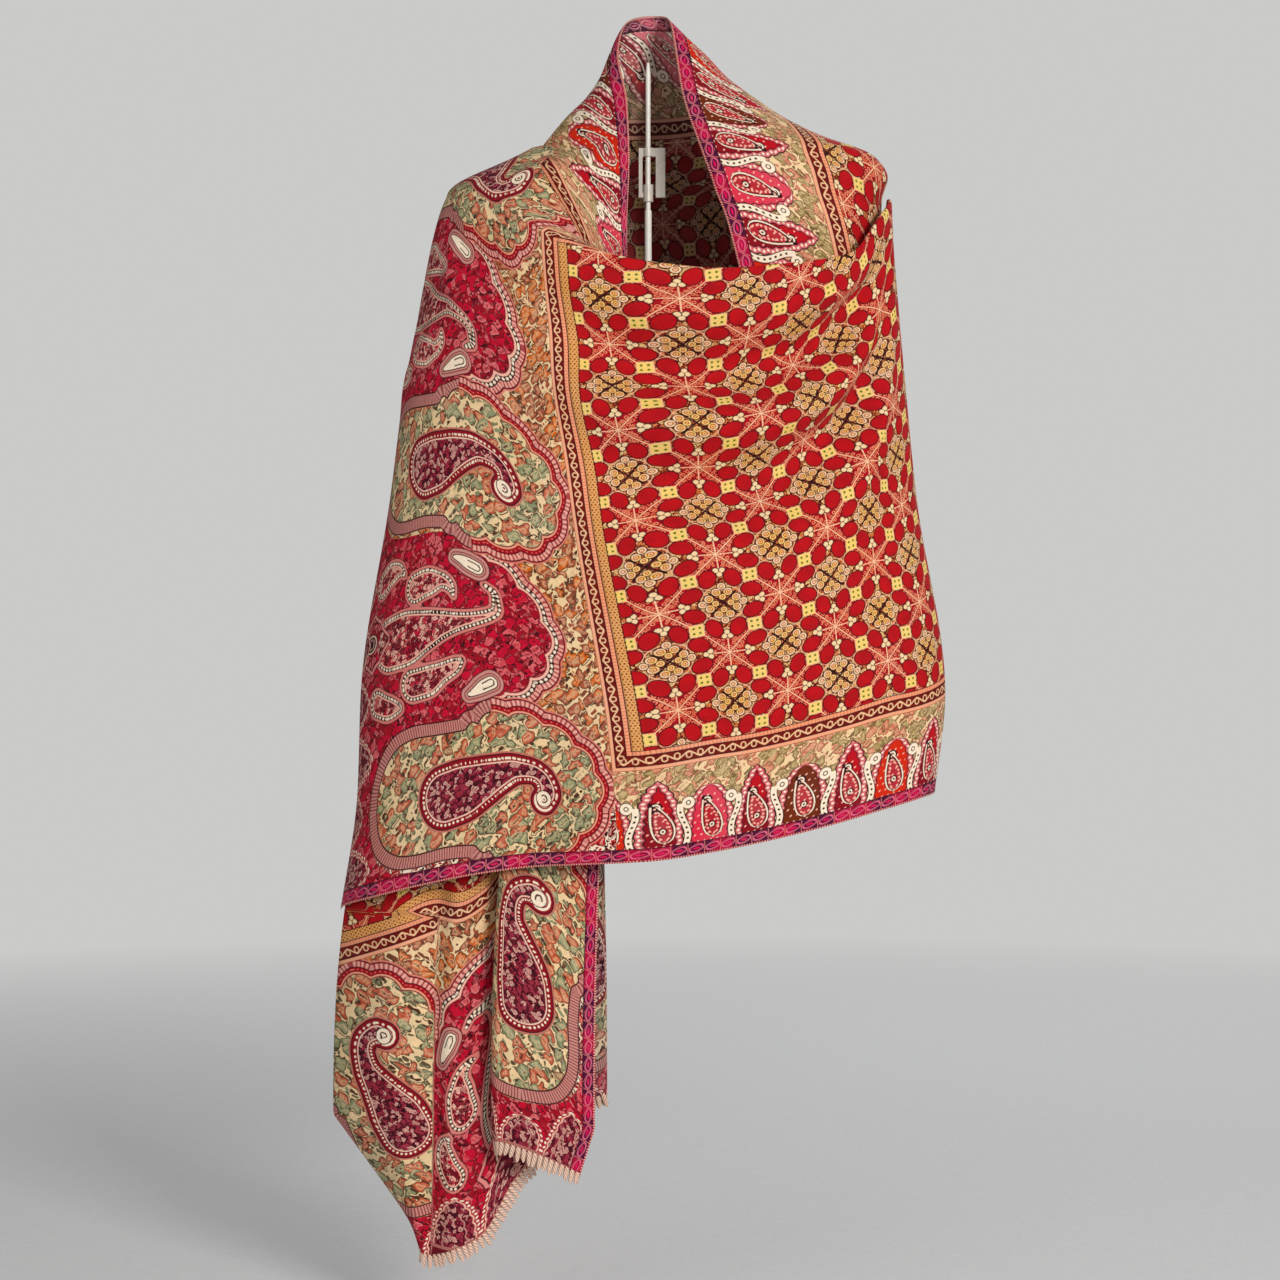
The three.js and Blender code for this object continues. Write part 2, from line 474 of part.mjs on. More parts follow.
// The middle of a pad that lies against the inner face of the back stretch.
function padCentre({ column, row }) {
  const out = outward(back, column, row, BACK_GRID.rows, 1);
  return back(column, row).addScaledVector(out, -(WALL / 2 + YOKE.padGap + YOKE.pad));
}
const pads = PADS.map(padCentre);
const hubTop = YOKE.hub + YOKE.hubHeight;
const hubHole = ROD_LOWER_RADIUS + FIT_GAP;
const arms = pads.map((pad) => {
  const start = new THREE.Vector3(Math.sign(pad.x) * YOKE.armX, 0, YOKE.hub + YOKE.armZ);
  const path = new THREE.LineCurve3(start, pad);
  const section = new THREE.Shape().absarc(0, 0, YOKE.arm, 0, 2 * Math.PI);
  return new THREE.ExtrudeGeometry(section, { steps: 1, curveSegments: ARM_SIDES, extrudePath: path });
});
const ball = (pad) => new THREE.SphereGeometry(YOKE.pad, ...PAD_SIDES).translate(...pad.toArray());
add(
  "shoulder_yoke",
  joined(
    [upright(hubHole + YOKE.hubWall, YOKE.hub, hubTop), ...arms, ...pads.map(ball)],
    [upright(hubHole, YOKE.hub - YOKE.armX, hubTop + YOKE.armX)],
  ),
  "yoke",
);

export default shawl;
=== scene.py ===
"""A Kashmiri shawl draped on a display rod. Tables and shapes are in millimetres, meshes in metres."""
import math

import bmesh
import bpy
import numpy as np
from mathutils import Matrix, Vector


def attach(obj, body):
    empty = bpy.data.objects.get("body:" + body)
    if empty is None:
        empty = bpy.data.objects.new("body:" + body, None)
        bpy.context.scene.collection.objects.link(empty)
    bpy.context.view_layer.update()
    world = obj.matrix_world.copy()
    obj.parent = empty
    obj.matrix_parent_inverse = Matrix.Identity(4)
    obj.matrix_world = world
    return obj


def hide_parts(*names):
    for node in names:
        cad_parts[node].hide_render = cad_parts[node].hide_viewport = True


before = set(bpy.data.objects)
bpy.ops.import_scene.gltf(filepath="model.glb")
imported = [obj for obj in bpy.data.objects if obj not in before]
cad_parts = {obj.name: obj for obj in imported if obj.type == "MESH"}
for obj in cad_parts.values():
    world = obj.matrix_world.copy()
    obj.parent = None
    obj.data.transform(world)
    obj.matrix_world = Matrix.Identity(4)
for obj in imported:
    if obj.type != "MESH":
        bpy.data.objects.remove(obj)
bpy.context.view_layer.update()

MM = 0.001

# ---------------------------------------------------------------- camera
CAMERA_AT = (-0.00744, -2.35, 0.1488)
VIEW_WIDTH = 1.1904
SENSOR = 36.0
camera_data = bpy.data.cameras.new("camera")
camera_data.sensor_width = SENSOR
camera_data.lens = SENSOR * -CAMERA_AT[1] / VIEW_WIDTH
camera = bpy.data.objects.new("camera", camera_data)
camera.location = CAMERA_AT
camera.rotation_euler = (math.radians(90), 0, 0)
bpy.context.scene.collection.objects.link(camera)
bpy.context.scene.camera = camera

# ---------------------------------------------------------------- the cloth's form
CLOTH_WIDTH = 710
# How far along the cloth from the seam at the right side the guard stripe and the thrown end's fringe lie.
GUARD_AT = 358
THROWN_EDGE_AT = 678
# How far the outer layer stands out: the front, the thrown end, and the turned-in edge of the front.
FRONT_OUT = 17
THROWN_OUT = 10
EDGE_OUT = 6
# The share of the turned-in edge's depth that is made on the front.
TURNED_DEPTH = 0.4
# The length over which the outer layer leaves the seam, and where the front passes into the thrown end.
LEAVES_SEAM = {"rim": 90, "edge": 60}
THROWN_FROM = 340
THROWN_FADE = 130
# The body's cross-section is an ellipse at 2 and squarer above it.
SQUARENESS = 2.3
THICKNESS = 1.0


def table(columns, rows):
    """Rows of numbers as named columns, the first of them the key."""
    return dict(zip(columns.split(), np.array(rows, float).T))


# How far the cloth round the body reaches to each side at each height.
RINGS = table("z left right front back", [
    (-110, -276, 246, -105, 122),
    (9, -259, 257, -104, 122),
    (100, -256, 267, -102, 120),
    (279, -229, 241, -96, 114),
    (372, -217, 232, -92, 110),
    (465, -200, 224, -89, 106),
    (521, -189, 220, -86, 100),
    (558, -177, 219, -80, 92),
    (577, -157, 222, -75, 86),
    (595, -108, 211, -68, 78),
    (614, -92, 163, -60, 66),
    (632, -77, 127, -52, 56),
    (651, -58, 99, -44, 48),
    (670, -45, 74, -36, 41),
    (690, -37, 56, -28, 36),
    (712, -28, 36, -18, 32),
    (736, -14, 20, -8, 30),
])
# The back stretch: the collar's free edge, the shoulder line and the hem, along its length.
BACK = table("at edge_x edge_y edge_z turn mid_turn mid_z end_turn end_z", [
    (0, -19, -76, 428, 9, 25, 428, 40, 428),
    (0.1, -19, -84, 515, 7, 40, 430, 62, 330),
    (0.2, -17, -72, 580, 13, 55, 470, 76, 180),
    (0.3, -19, -44, 640, 24, 76, 520, 92, 60),
    (0.37, -27.5, -19, 690, 52, 98, 540, 116, 0),
    (0.42, -23, -8, 716, 66, 124, 545, 140, -5),
    (0.46, -12, 17, 731, 128, 148, 548, 158, -8),
    (0.5, 4, 28, 736, 182, 172, 550, 176, -8),
    (0.54, 16, 16, 732, 236, 196, 550, 194, -6),
    (0.58, 21, -9, 719, 314, 214, 550, 210, -4),
    (0.63, 24, -24, 697, 339, 234, 550, 228, -1),
    (0.71, 31, -44, 648, 355, 250, 548, 247, 5),
    (0.78, 45, -65, 600, 360, 262, 545, 262, 12),
    (0.84, 60, -79, 557, 352, 276, 530, 262, 12),
    (0.9, 71, -84, 529, 348, 290, 508, 262, 12),
    (0.95, 81, -85, 492, 345, 304, 482, 262, 12),
    (1, 93, -84, 446, 341, 318, 452, 262, 12),
])
# Where along it the seam is, how fast the collar turns, drops and joins the body, and how the
# stretch lies under the cowl.
SEAM_AT = 0.78
COLLAR_TURN = 2
COLLAR_DROP = 1.35
COLLAR_LEAVES = 3
UNDER_COWL = {"depth": 5, "turn": 262, "over": 14, "top": 575, "fade": 25}
# The outer layer, from the seam at the right side round the front to the thrown end's fringe.
OUTER = table("u hem_turn hem_z rim_turn rim_z edge_turn edge_z crest", [
    (0, 262, 12, 262, 535, 262, 539, 1),
    (12, 266, 12, 266, 536, 266, 540, 1),
    (30, 272, 11, 273, 554, 273, 560, 3),
    (75, 291, 8, 297, 529, 298, 504, 12),
    (129, 310, -2, 314, 492, 313, 436, 12),
    (182, 325, -15, 330, 482, 328, 398, 12),
    (254, 341.5, -31, 351, 475, 348, 384, 12),
    (300, 350, -39, 365, 482, 361, 424, 12),
    (358, 360, -47, 382, 505, 373, 474, 8),
    (414, 369, -50, 396, 532, 385, 549, 10),
    (460, 378, -53, 411, 554, 402, 584, 14),
    (505, 388, -59, 427, 560, 424, 601, 20),
    (569, 404, -72, 447, 559, 455, 602, 22),
    (624, 422, -86, 468, 553, 480, 595, 27),
    (678, 446, -99, 492, 541, 505, 581, 30),
])
# How the rim's roll starts, how its columns bow and crowd towards the rim, and the share of rows turned in.
CREST_START = 0.6
COLUMN_BOW = 1.3
COLUMN_CROWD = 1.45
TURNED_IN = 0.2
# The largest folds of the outer layer, and after them the small ones: each runs between two places and sags.
FOLDS = table("from_turn from_z to_turn to_z sag height width", [
    (286, 560, 388, 486, 76, 9, 20),
    (288, 540, 388, 448, 100, -20, 25),
    (288, 528, 386, 400, 118, 13, 25),
    (288, 512, 382, 332, 122, -17, 30),
    (292, 440, 376, 250, 112, 8, 42),
    (388, 452, 440, 548, -6, -3, 18),
    (386, 410, 430, 508, 8, 5, 20),
    (280, 556, 336, 470, 40, 2.6, 9),
    (282, 540, 352, 424, 66, -2.4, 10),
    (284, 520, 360, 376, 86, 2.2, 12),
    (290, 470, 350, 240, 70, 1.8, 14),
    (296, 300, 356, 120, 10, 1.6, 20),
    (300, 220, 352, 40, -8, -1.6, 22),
    (392, 520, 452, 430, -14, -2.2, 14),
    (396, 470, 458, 352, -8, 2.2, 16),
    (388, 330, 446, 250, 6, -2.0, 20),
    (386, 240, 440, 130, 12, 1.8, 22),
    (378, 120, 436, 20, 10, -1.8, 18),
])
# How fast a fold grows from its ends, and the band under the rim where the folds die away.
FOLD_EASE = 3.4
FOLD_TOP = {"over": 6, "fade": 40}
# The soft upright fold near the middle of the hem, and those of the back.
HEM_FOLD = {"turn": 373, "top": 140, "reach": 190, "width": 5, "height": 6, "spread": 0.12}
BACK_FOLD = {"height": 5, "per_degree": 0.15, "top": 560, "reach": 300, "from": 100, "to": 258, "fade": 30}
# The tail's pleats, from its left hem to its right one.
TAIL = table("v top_x mid_x end_x y end_z", [
    (0, -68, -60, -58, -18, -272),
    (24, -58, -40, -40, -22, -270),
    (46, -56, -38, -38, -32, -268),
    (100, -76, -86, -84, -26, -288),
    (180, -108, -160, -136, -18, -330),
    (260, -140, -240, -186, -6, -374),
    (312, -160, -286, -211, -4, -390),
    (330, -166, -291, -216, -10, -392),
    (355, -160, -268, -212, -34, -396),
    (400, -146, -224, -205, -58, -408),
    (425, -136, -197, -198, -54, -411),
    (448, -126, -178, -176, -66, -404),
    (475, -112, -152, -150, -62, -391),
    (505, -94, -124, -122, -52, -345),
    (532, -76, -98, -90, -56, -308),
    (548, -72, -94, -88, -66, -303),
    (575, -82, -122, -118, -70, -303),
    (596, -90, -141, -139, -78, -303),
    (612, -84, -136, -134, -86, -302),
    (660, -50, -92, -100, -90, -312),
    (710, -19, -48, -61, -84, -331),
])
# Its hidden top: the height and depth, how it is squeezed and gathered, and how the back stretch leaves it.
TAIL_TOP_Z = 427.4
TAIL_MID_Z = -290
TAIL_TOP = {"y": -58, "squeeze": 0.66, "gather": 1.4, "climb": 700, "reach": 0.1}
TAIL_FRONT_PANEL = 98
SEAM_GAP = 0.8


def through(rows, column, value):
    """The smooth curve through a table's rows that never runs past a row."""
    key = next(iter(rows.values()))
    y = rows[column]
    rise = np.diff(y) / np.diff(key)
    before, after = rise[:-1], rise[1:]
    agree = before * after > 0
    inner = np.where(agree, 2 * before * after / np.where(agree, before + after, 1), 0)
    slope = np.concatenate([rise[:1], inner, rise[-1:]])
    x = np.clip(value, key[0], key[-1])
    i = np.clip(np.searchsorted(key, x, side="right") - 1, 0, len(key) - 2)
    span = key[i + 1] - key[i]
    t = (x - key[i]) / span
    rest = 1 - t
    return (
        (1 + 2 * t) * rest**2 * y[i]
        + t * rest**2 * span * slope[i]
        + t**2 * (3 - 2 * t) * y[i + 1]
        - t**2 * rest * span * slope[i + 1]
    )


def mix(a, b, t):
    return a + (b - a) * t


def smooth(t):
    c = np.clip(t, 0, 1)
    return c * c * (3 - 2 * c)


def squared(value):
    return np.sign(value) * np.abs(value) ** (2 / SQUARENESS)


def on_body(turn, z, out):
    """The points at a turn round the body and a height, so far outside the inner stretch."""
    angle = np.radians(turn)
    left, right = through(RINGS, "left", z), through(RINGS, "right", z)
    across = (right - left) / 2 + out
    facing = squared(np.cos(angle))
    depth = np.where(facing > 0, -through(RINGS, "front", z), through(RINGS, "back", z)) + out
    x = (left + right) / 2 - across * squared(np.sin(angle))
    return np.stack(np.broadcast_arrays(x, -depth * facing, z), -1)


def tail_point(v, up):
    """The tail: v runs across the cloth, and up from the fringe to the hidden top."""
    end_z = through(TAIL, "end_z", v)
    z = mix(end_z, TAIL_TOP_Z, up)
    high = smooth((z - TAIL_MID_Z) / (TAIL_TOP_Z - TAIL_MID_Z)) ** TAIL_TOP["gather"]
    low = np.clip((z - end_z) / (TAIL_MID_Z - end_z + 1e-9), 0, 1)
    mid_x = through(TAIL, "mid_x", v)
    under_middle = mix(through(TAIL, "end_x", v), mid_x, low)
    over_middle = mix(mid_x, through(TAIL, "top_x", v), high)
    x = np.where(z < TAIL_MID_Z, under_middle, over_middle)
    y = TAIL_TOP["y"] + (through(TAIL, "y", v) - TAIL_TOP["y"]) * mix(1, TAIL_TOP["squeeze"], high)
    return np.stack(np.broadcast_arrays(x, y, z), -1)


def back_point(along, down):
    """The back stretch: along its length, and down from the collar, with the shoulder line at a half."""
    above = np.clip(down * 2, 0, 1)
    below = np.maximum(down * 2 - 1, 0)
    column = {name: through(BACK, name, along) for name in BACK if name != "at"}
    collar = mix(column["turn"], column["mid_turn"], 1 - (1 - above) ** COLLAR_TURN)
    turn = mix(collar, column["end_turn"], below)
    z = mix(mix(column["edge_z"], column["mid_z"], above**COLLAR_DROP), column["end_z"], below)
    fold = BACK_FOLD
    behind = smooth((turn - fold["from"]) / fold["fade"]) * smooth((fold["to"] - turn) / fold["fade"])
    wave = fold["height"] * np.cos((turn - 180) * fold["per_degree"])
    low = smooth((fold["top"] - z) / fold["reach"])
    under = smooth((turn - UNDER_COWL["turn"]) / UNDER_COWL["over"])
    under = under * smooth((UNDER_COWL["top"] - z) / UNDER_COWL["fade"])
    point = on_body(turn, z, wave * behind * low - UNDER_COWL["depth"] * under)
    edge = np.stack([column["edge_x"], column["edge_y"], column["edge_z"]], -1)
    edge = edge - on_body(column["turn"], column["edge_z"], 0)
    point = point + edge * ((1 - above) ** COLLAR_LEAVES)[..., None]
    tail = tail_point(CLOTH_WIDTH - TAIL_FRONT_PANEL * down, 1.0)
    tail[..., 2] += SEAM_GAP + along * TAIL_TOP["climb"]
    return mix(point, tail, (1 - smooth(along / TAIL_TOP["reach"]))[..., None])


def fold_height(turn, z):
    raised = np.zeros(np.broadcast(turn, z).shape)
    for from_turn, from_z, to_turn, to_z, sag, height, width in zip(*FOLDS.values()):
        t = np.clip((turn - from_turn) / (to_turn - from_turn), 0, 1)
        line = mix(from_z, to_z, t) - sag * 4 * t * (1 - t)
        raised += height * np.exp(-(((z - line) / width) ** 2)) * smooth(np.minimum(t, 1 - t) * FOLD_EASE)
    beside = (turn - HEM_FOLD["turn"]) / HEM_FOLD["width"]
    low = smooth((HEM_FOLD["top"] - z) / HEM_FOLD["reach"])
    fading = np.exp(-beside * beside * HEM_FOLD["spread"])
    return raised + HEM_FOLD["height"] * low * np.tanh(-beside) * fading


def outer_point(u, up):
    """The outer layer: up runs from the hem, 0, to the rim, 1, and on to the turned-in edge, 2."""
    column = {name: through(OUTER, name, u) for name in OUTER if name != "u"}
    thrown = smooth((u - THROWN_FROM) / THROWN_FADE)
    out = mix(FRONT_OUT * smooth(u / LEAVES_SEAM["rim"]), THROWN_OUT, thrown)
    climb = 1 - np.maximum(1 - up, 0) ** COLUMN_CROWD
    turn = mix(column["hem_turn"], column["rim_turn"], climb**COLUMN_BOW)
    z = mix(column["hem_z"], column["rim_z"], climb)
    raised = fold_height(turn, z) * smooth((column["rim_z"] + FOLD_TOP["over"] - z) / FOLD_TOP["fade"])
    rim = on_body(turn, z, out + raised)
    edge_out = EDGE_OUT * smooth(u / LEAVES_SEAM["edge"])
    depth = mix(TURNED_DEPTH, 1, thrown)
    edge_z = mix(column["rim_z"], column["edge_z"], depth)
    edge = on_body(column["edge_turn"], edge_z, mix(edge_out, THROWN_OUT, thrown))
    lift = rim.copy()
    lift[..., 2] = column["rim_z"] + column["crest"] * CREST_START
    over = (rim + edge) / 2
    over[..., 2] = column["rim_z"] + column["crest"]
    t = np.clip(up - 1, 0, 1)[..., None]
    turned = (1 - t) ** 3 * rim + 3 * (1 - t) ** 2 * t * lift + 3 * (1 - t) * t**2 * over + t**3 * edge
    return np.where(t > 0, turned, rim)


def up_to(t):
    """From a share of the rows to 0 at the hem, 1 at the rim and 2 at the turned-in edge."""
    return np.where(t < 1 - TURNED_IN, t / (1 - TURNED_IN), 1 + (t - 1 + TURNED_IN) / TURNED_IN)


# ---------------------------------------------------------------- the end panels' drawing
# Each end panel has five blocks across the cloth, cream and red by turns, a gourd in each cream one.
# Distances are from the guard stripe towards the fringe, and across from the middle of the block.
BLOCK = CLOTH_WIDTH / 5
GOURD = [
    (38, 0), (40, 12), (46, 25), (56, 37), (68, 47), (82, 54), (98, 58), (112, 60), (124, 58), (140, 53),
    (160, 48), (185, 47), (210, 48), (228, 46), (243, 39), (254, 28), (260, 14), (262, 0),
]
GOURD_HEAD = 150
GOURD_SWAY = {"by": 5, "from": 120, "over": 150}
RED_HEAD = [
    (70, 0), (72, 12), (78, 25), (87, 37), (98, 46), (110, 53), (122, 62), (140, 76), (160, 83), (185, 84),
    (210, 84), (235, 86), (255, 96), (266, 112), (273, 130), (275, 150),
]
RED_HEAD_LENGTH = 85
# Past its sides the red head's outline runs on beyond the cloth's end.
RED_HEAD_END = {"corners": [(400, 150), (400, 0)], "at": [130, 280]}
# Past this share of the width the botehs are turned over.
MIRRORED_PAST = 0.6
LOBE = 30
LOBE_HEIGHT = 7.5
# Botehs as a chain of circles: distance from the guard, across, and radius.
BOTEH = [
    (184, -1, 27), (170, 1, 27), (150, 6, 22.5), (130, 12, 17), (114, 16, 13.5), (100, 15, 12),
    (88, 8, 11.5), (85, -4, 12.5), (90, -12, 12.5),
]
SWIRL = (90, -10, 7)
RED_BOTEHS = [
    [(232, -6, 24), (214, -4, 25), (190, 0, 20), (165, 3, 13.5), (142, 4, 9), (122, 8, 7), (110, 17, 6),
     (110, 29, 5), (119, 36, 3.5)],
    [(196, 38, 15), (180, 41, 14), (164, 41, 9), (152, 34, 6), (150, 26, 3)],
    [(206, -44, 15), (190, -43, 15), (172, -38, 11), (158, -34, 9), (150, -30, 5)],
    [(250, 48, 13), (236, 55, 12), (222, 57, 8), (214, 52, 4)],
    [(254, -52, 13), (240, -58, 12), (226, -60, 7)],
]
EYE = [(124, 50, 5.2), (131, 53, 5.0), (139, 57, 3.4), (147, 60, 1.4)]


def curved(points, step=2.0):
    """A smooth run of points, about a step apart, through the given ones."""
    p = np.array(points, float)
    length = np.concatenate([[0], np.cumsum(np.linalg.norm(np.diff(p[:, :2], axis=0), axis=1))])
    rows = {"at": length, **{str(i): p[:, i] for i in range(p.shape[1])}}
    at = np.linspace(0, length[-1], int(length[-1] / step) + 2)
    return np.stack([through(rows, str(i), at) for i in range(p.shape[1])], -1), at


def lobed(points, length):
    """An outline with round lobes along its first part."""
    line, at = curved(points, 1.5)
    along = np.gradient(line, axis=0)
    along /= np.linalg.norm(along, axis=1)[:, None] + 1e-9
    out = np.stack([-along[:, 1], along[:, 0]], -1)
    bulge = LOBE_HEIGHT * np.abs(np.cos(math.pi * at / LOBE)) ** 0.65 * smooth((length - at) / 12)
    return line + out * bulge[:, None], at


def to_line(s, y, line, at):
    """The distance from each place to a run of points, less than nothing inside, and how far along it is."""
    best = np.full(s.shape, 1e9)
    where = np.zeros(s.shape)
    inside = np.zeros(s.shape, bool)
    for (s0, y0), (s1, y1), from_at, to_at in zip(line[:-1], line[1:], at[:-1], at[1:]):
        ds, dy = s1 - s0, y1 - y0
        t = np.clip(((s - s0) * ds + (y - y0) * dy) / (ds * ds + dy * dy + 1e-12), 0, 1)
        gap = np.hypot(s - s0 - t * ds, y - y0 - t * dy)
        nearer = gap < best
        best = np.where(nearer, gap, best)
        where = np.where(nearer, mix(from_at, to_at, t), where)
        crosses = (s0 <= s) != (s1 <= s)
        inside ^= crosses & (y < y0 + (s - s0) * dy / (ds if abs(ds) > 1e-9 else 1e-9))
    return np.where(inside, -best, best), where


def to_chain(s, y, chain):
    """The distance from each place to a tapering chain of circles, and how far along it is."""
    line, at = curved(chain, 4.0)
    best = np.full(s.shape, 1e9)
    where = np.zeros(s.shape)
    for (s0, y0, r0), (s1, y1, r1), from_at, to_at in zip(line[:-1], line[1:], at[:-1], at[1:]):
        ds, dy = s1 - s0, y1 - y0
        t = np.clip(((s - s0) * ds + (y - y0) * dy) / (ds * ds + dy * dy + 1e-12), 0, 1)
        gap = np.hypot(s - s0 - t * ds, y - y0 - t * dy) - mix(r0, r1, t)
        nearer = gap < best
        best = np.where(nearer, gap, best)
        back, aside = (s0 - s) * ds + (y0 - y) * dy, (s - s0) * dy - (y - y0) * ds
        round_end = -np.arctan2(np.maximum(back, 0), np.abs(aside) + 1e-9) * (r0 - 4)
        along = np.where((from_at == 0) & (t <= 0), round_end, mix(from_at, to_at, t))
        where = np.where(nearer, along, where)
    return best, where


def panel_fields(s, v):
    """What the end panel's weave is drawn from, at each place of the cloth."""
    cream_y = (v - BLOCK / 2 + BLOCK) % (2 * BLOCK) - BLOCK
    red_y = (v - BLOCK * 1.5 + BLOCK) % (2 * BLOCK) - BLOCK
    flip = np.where(v > CLOTH_WIDTH * MIRRORED_PAST, -1.0, 1.0)
    sway = GOURD_SWAY["by"] * np.sin(np.clip((s - GOURD_SWAY["from"]) / GOURD_SWAY["over"], 0, 1) * math.pi)
    gourd, gourd_at = to_line(s, np.abs(cream_y - sway * flip), *lobed(GOURD, GOURD_HEAD))
    red_outline, red_at = lobed(RED_HEAD, RED_HEAD_LENGTH)
    red, red_at = to_line(s, np.abs(red_y), np.vstack([red_outline, RED_HEAD_END["corners"]]),
                          np.concatenate([red_at, red_at[-1] + np.array(RED_HEAD_END["at"])]))
    boteh, boteh_at = to_chain(s, cream_y * flip, BOTEH)
    small = [to_chain(s, red_y * flip, chain) for chain in RED_BOTEHS]
    pick = np.argmin([d for d, _ in small], axis=0)
    eye, _ = to_chain(s, np.abs(red_y), EYE)
    swirl = np.hypot(s - SWIRL[0], cream_y * flip - SWIRL[1]) - SWIRL[2]
    return {
        "gourd": gourd, "gourd_at": gourd_at, "red_head": red, "red_at": red_at,
        "boteh": boteh, "boteh_at": boteh_at,
        "small_boteh": np.choose(pick, [d for d, _ in small]),
        "small_at": np.choose(pick, [a for _, a in small]),
        "eye": eye, "swirl": swirl,
    }


def as_mesh(name, bm):
    mesh = bpy.data.meshes.new(name)
    bm.to_mesh(mesh)
    bm.free()
    return mesh


def in_scene(name, mesh, materials):
    """An object of a mesh, with its materials."""
    for material in materials:
        mesh.materials.append(material)
    made = bpy.data.objects.new(name, mesh)
    bpy.context.scene.collection.objects.link(made)
    return made


def cloth_piece(name, node, surface, cells, measure, materials, keep=None):
    """A stretch of cloth over a grid of shares, given its form and what its weave is drawn from."""
    bm = bmesh.new()
    bmesh.ops.create_grid(bm, x_segments=cells[0], y_segments=cells[1], size=0.5)
    if keep:
        middles = [(face, face.calc_center_median()) for face in bm.faces]
        gone = [face for face, middle in middles if not keep(middle.x + 0.5, middle.y + 0.5)]
        bmesh.ops.delete(bm, geom=gone, context="FACES")
    else:
        bmesh.ops.reverse_faces(bm, faces=bm.faces)
    mesh = as_mesh(name, bm)
    flat = np.empty(len(mesh.vertices) * 3)
    mesh.vertices.foreach_get("co", flat)
    s, t = np.clip(flat.reshape(-1, 3)[:, :2] + 0.5, 0, 1).T
    points = surface(s, t)
    mesh.vertices.foreach_set("co", (points * MM).astype(np.float32).ravel())
    fields = measure(s, t, points)
    corner = np.empty(len(mesh.loops), int)
    mesh.loops.foreach_get("vertex_index", corner)
    uv = np.stack([fields["u"], fields["v"]], -1) * MM
    mesh.uv_layers.new(name="cloth").data.foreach_set("uv", uv[corner].astype(np.float32).ravel())
    for key, values in fields.items():
        if key not in ("u", "v"):
            mesh.attributes.new(key, "FLOAT", "POINT").data.foreach_set("value", values.astype(np.float32))
    mesh.shade_smooth()
    mesh.update()
    piece = in_scene(name, mesh, materials)
    shell = piece.modifiers.new("shell", "SOLIDIFY")
    shell.thickness = THICKNESS * MM
    shell.offset = 0
    shell.material_offset = 1
    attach(piece, "root")
    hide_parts(node)
    return piece


def arc_rows(surface, samples, s, t):
    """Lengths as the cloth lies, at the places asked for: from the
    column's foot, of the whole column, and along the row."""
    shares = np.linspace(0, 1, samples)
    grid = surface(*np.meshgrid(shares, shares, indexing="ij"))
    down = np.linalg.norm(np.diff(grid, axis=1), axis=-1)
    length = np.concatenate([np.zeros((samples, 1)), np.cumsum(down, axis=1)], axis=1)
    along = np.linalg.norm(np.diff(grid, axis=0), axis=-1)
    width = np.concatenate([np.zeros((1, samples)), np.cumsum(along, axis=0)], axis=0)
    return [between(field, s, t) for field in (length, length[:, -1:] + 0 * length, width)]


def between(field, s, t):
    """A grid's values at shares of its two directions."""
    n, m = field.shape[0] - 1, field.shape[1] - 1
    i, j = np.clip((s * n).astype(int), 0, n - 1), np.clip((t * m).astype(int), 0, m - 1)
    a, b = s * n - i, t * m - j
    return mix(mix(field[i, j], field[i + 1, j], a), mix(field[i, j + 1], field[i + 1, j + 1], a), b)


# ---------------------------------------------------------------- shader arithmetic
def rgb(code):
    """A colour from its usual six digits, as light."""
    part = [int(code[i : i + 2], 16) / 255 for i in (0, 2, 4)]
    return tuple(c / 12.92 if c <= 0.04045 else ((c + 0.055) / 1.055) ** 2.4 for c in part) + (1.0,)


class Wire:
    """A number or colour in a shader tree. A sum on numbers adds a Math node."""

    def __init__(self, tree, socket):
        self.tree, self.socket = tree, socket

    def __add__(self, other):
        return maths("ADD", self, other)

    def __sub__(self, other):
        return maths("SUBTRACT", self, other)

    def __rsub__(self, other):
        return maths("SUBTRACT", other, self)

    def __mul__(self, other):
        return maths("MULTIPLY", self, other)

    def __truediv__(self, other):
        return maths("DIVIDE", self, other)

    __radd__ = __add__
    __rmul__ = __mul__


def feed(inputs, values):
    """Gives sockets, by place or name, their wires or constants."""
    for key, value in values.items():
        if isinstance(value, Wire):
            value.tree.links.new(value.socket, inputs[key])
        else:
            inputs[key].default_value = value


def new_node(kind, values, **settings):
    """A node in the tree of its first wire, with its sockets given by place or name."""
    tree = next(v.tree for v in values.values() if isinstance(v, Wire))
    node = tree.nodes.new(kind)
    for key, value in settings.items():
        setattr(node, key, value)
    feed(node.inputs, values)
    return node


def maths(operation, *values, clamp=False):
    node = new_node("ShaderNodeMath", dict(enumerate(values)), operation=operation, use_clamp=clamp)
    return Wire(node.id_data, node.outputs[0])


def size_of(value):
    return maths("ABSOLUTE", value)


def least(*values):
    return values[0] if len(values) == 1 else maths("MINIMUM", values[0], least(*values[1:]))


def most(*values):
    return values[0] if len(values) == 1 else maths("MAXIMUM", values[0], most(*values[1:]))


def sine(value, period, phase=0.0):
    return maths("SINE", maths("MULTIPLY_ADD", value, 2 * math.pi / period, phase))


def folded(value, half):
    """How far a value is from the nearest multiple of twice the half."""
    return maths("PINGPONG", value, half)


def signed(value, period):
    """A value wrapped to half a period on each side of nought."""
    return maths("WRAP", value, period / 2, -period / 2)


def below(value, limit=0.0, soft=0.6):
    """1 where a value is under a limit and 0 over it, with a soft step between."""
    return maths("MULTIPLY_ADD", value, -1 / soft, 0.5 + limit / soft, clamp=True)


def band(value, low, high, soft=0.6):
    return below(size_of(value - (low + high) / 2), (high - low) / 2, soft)


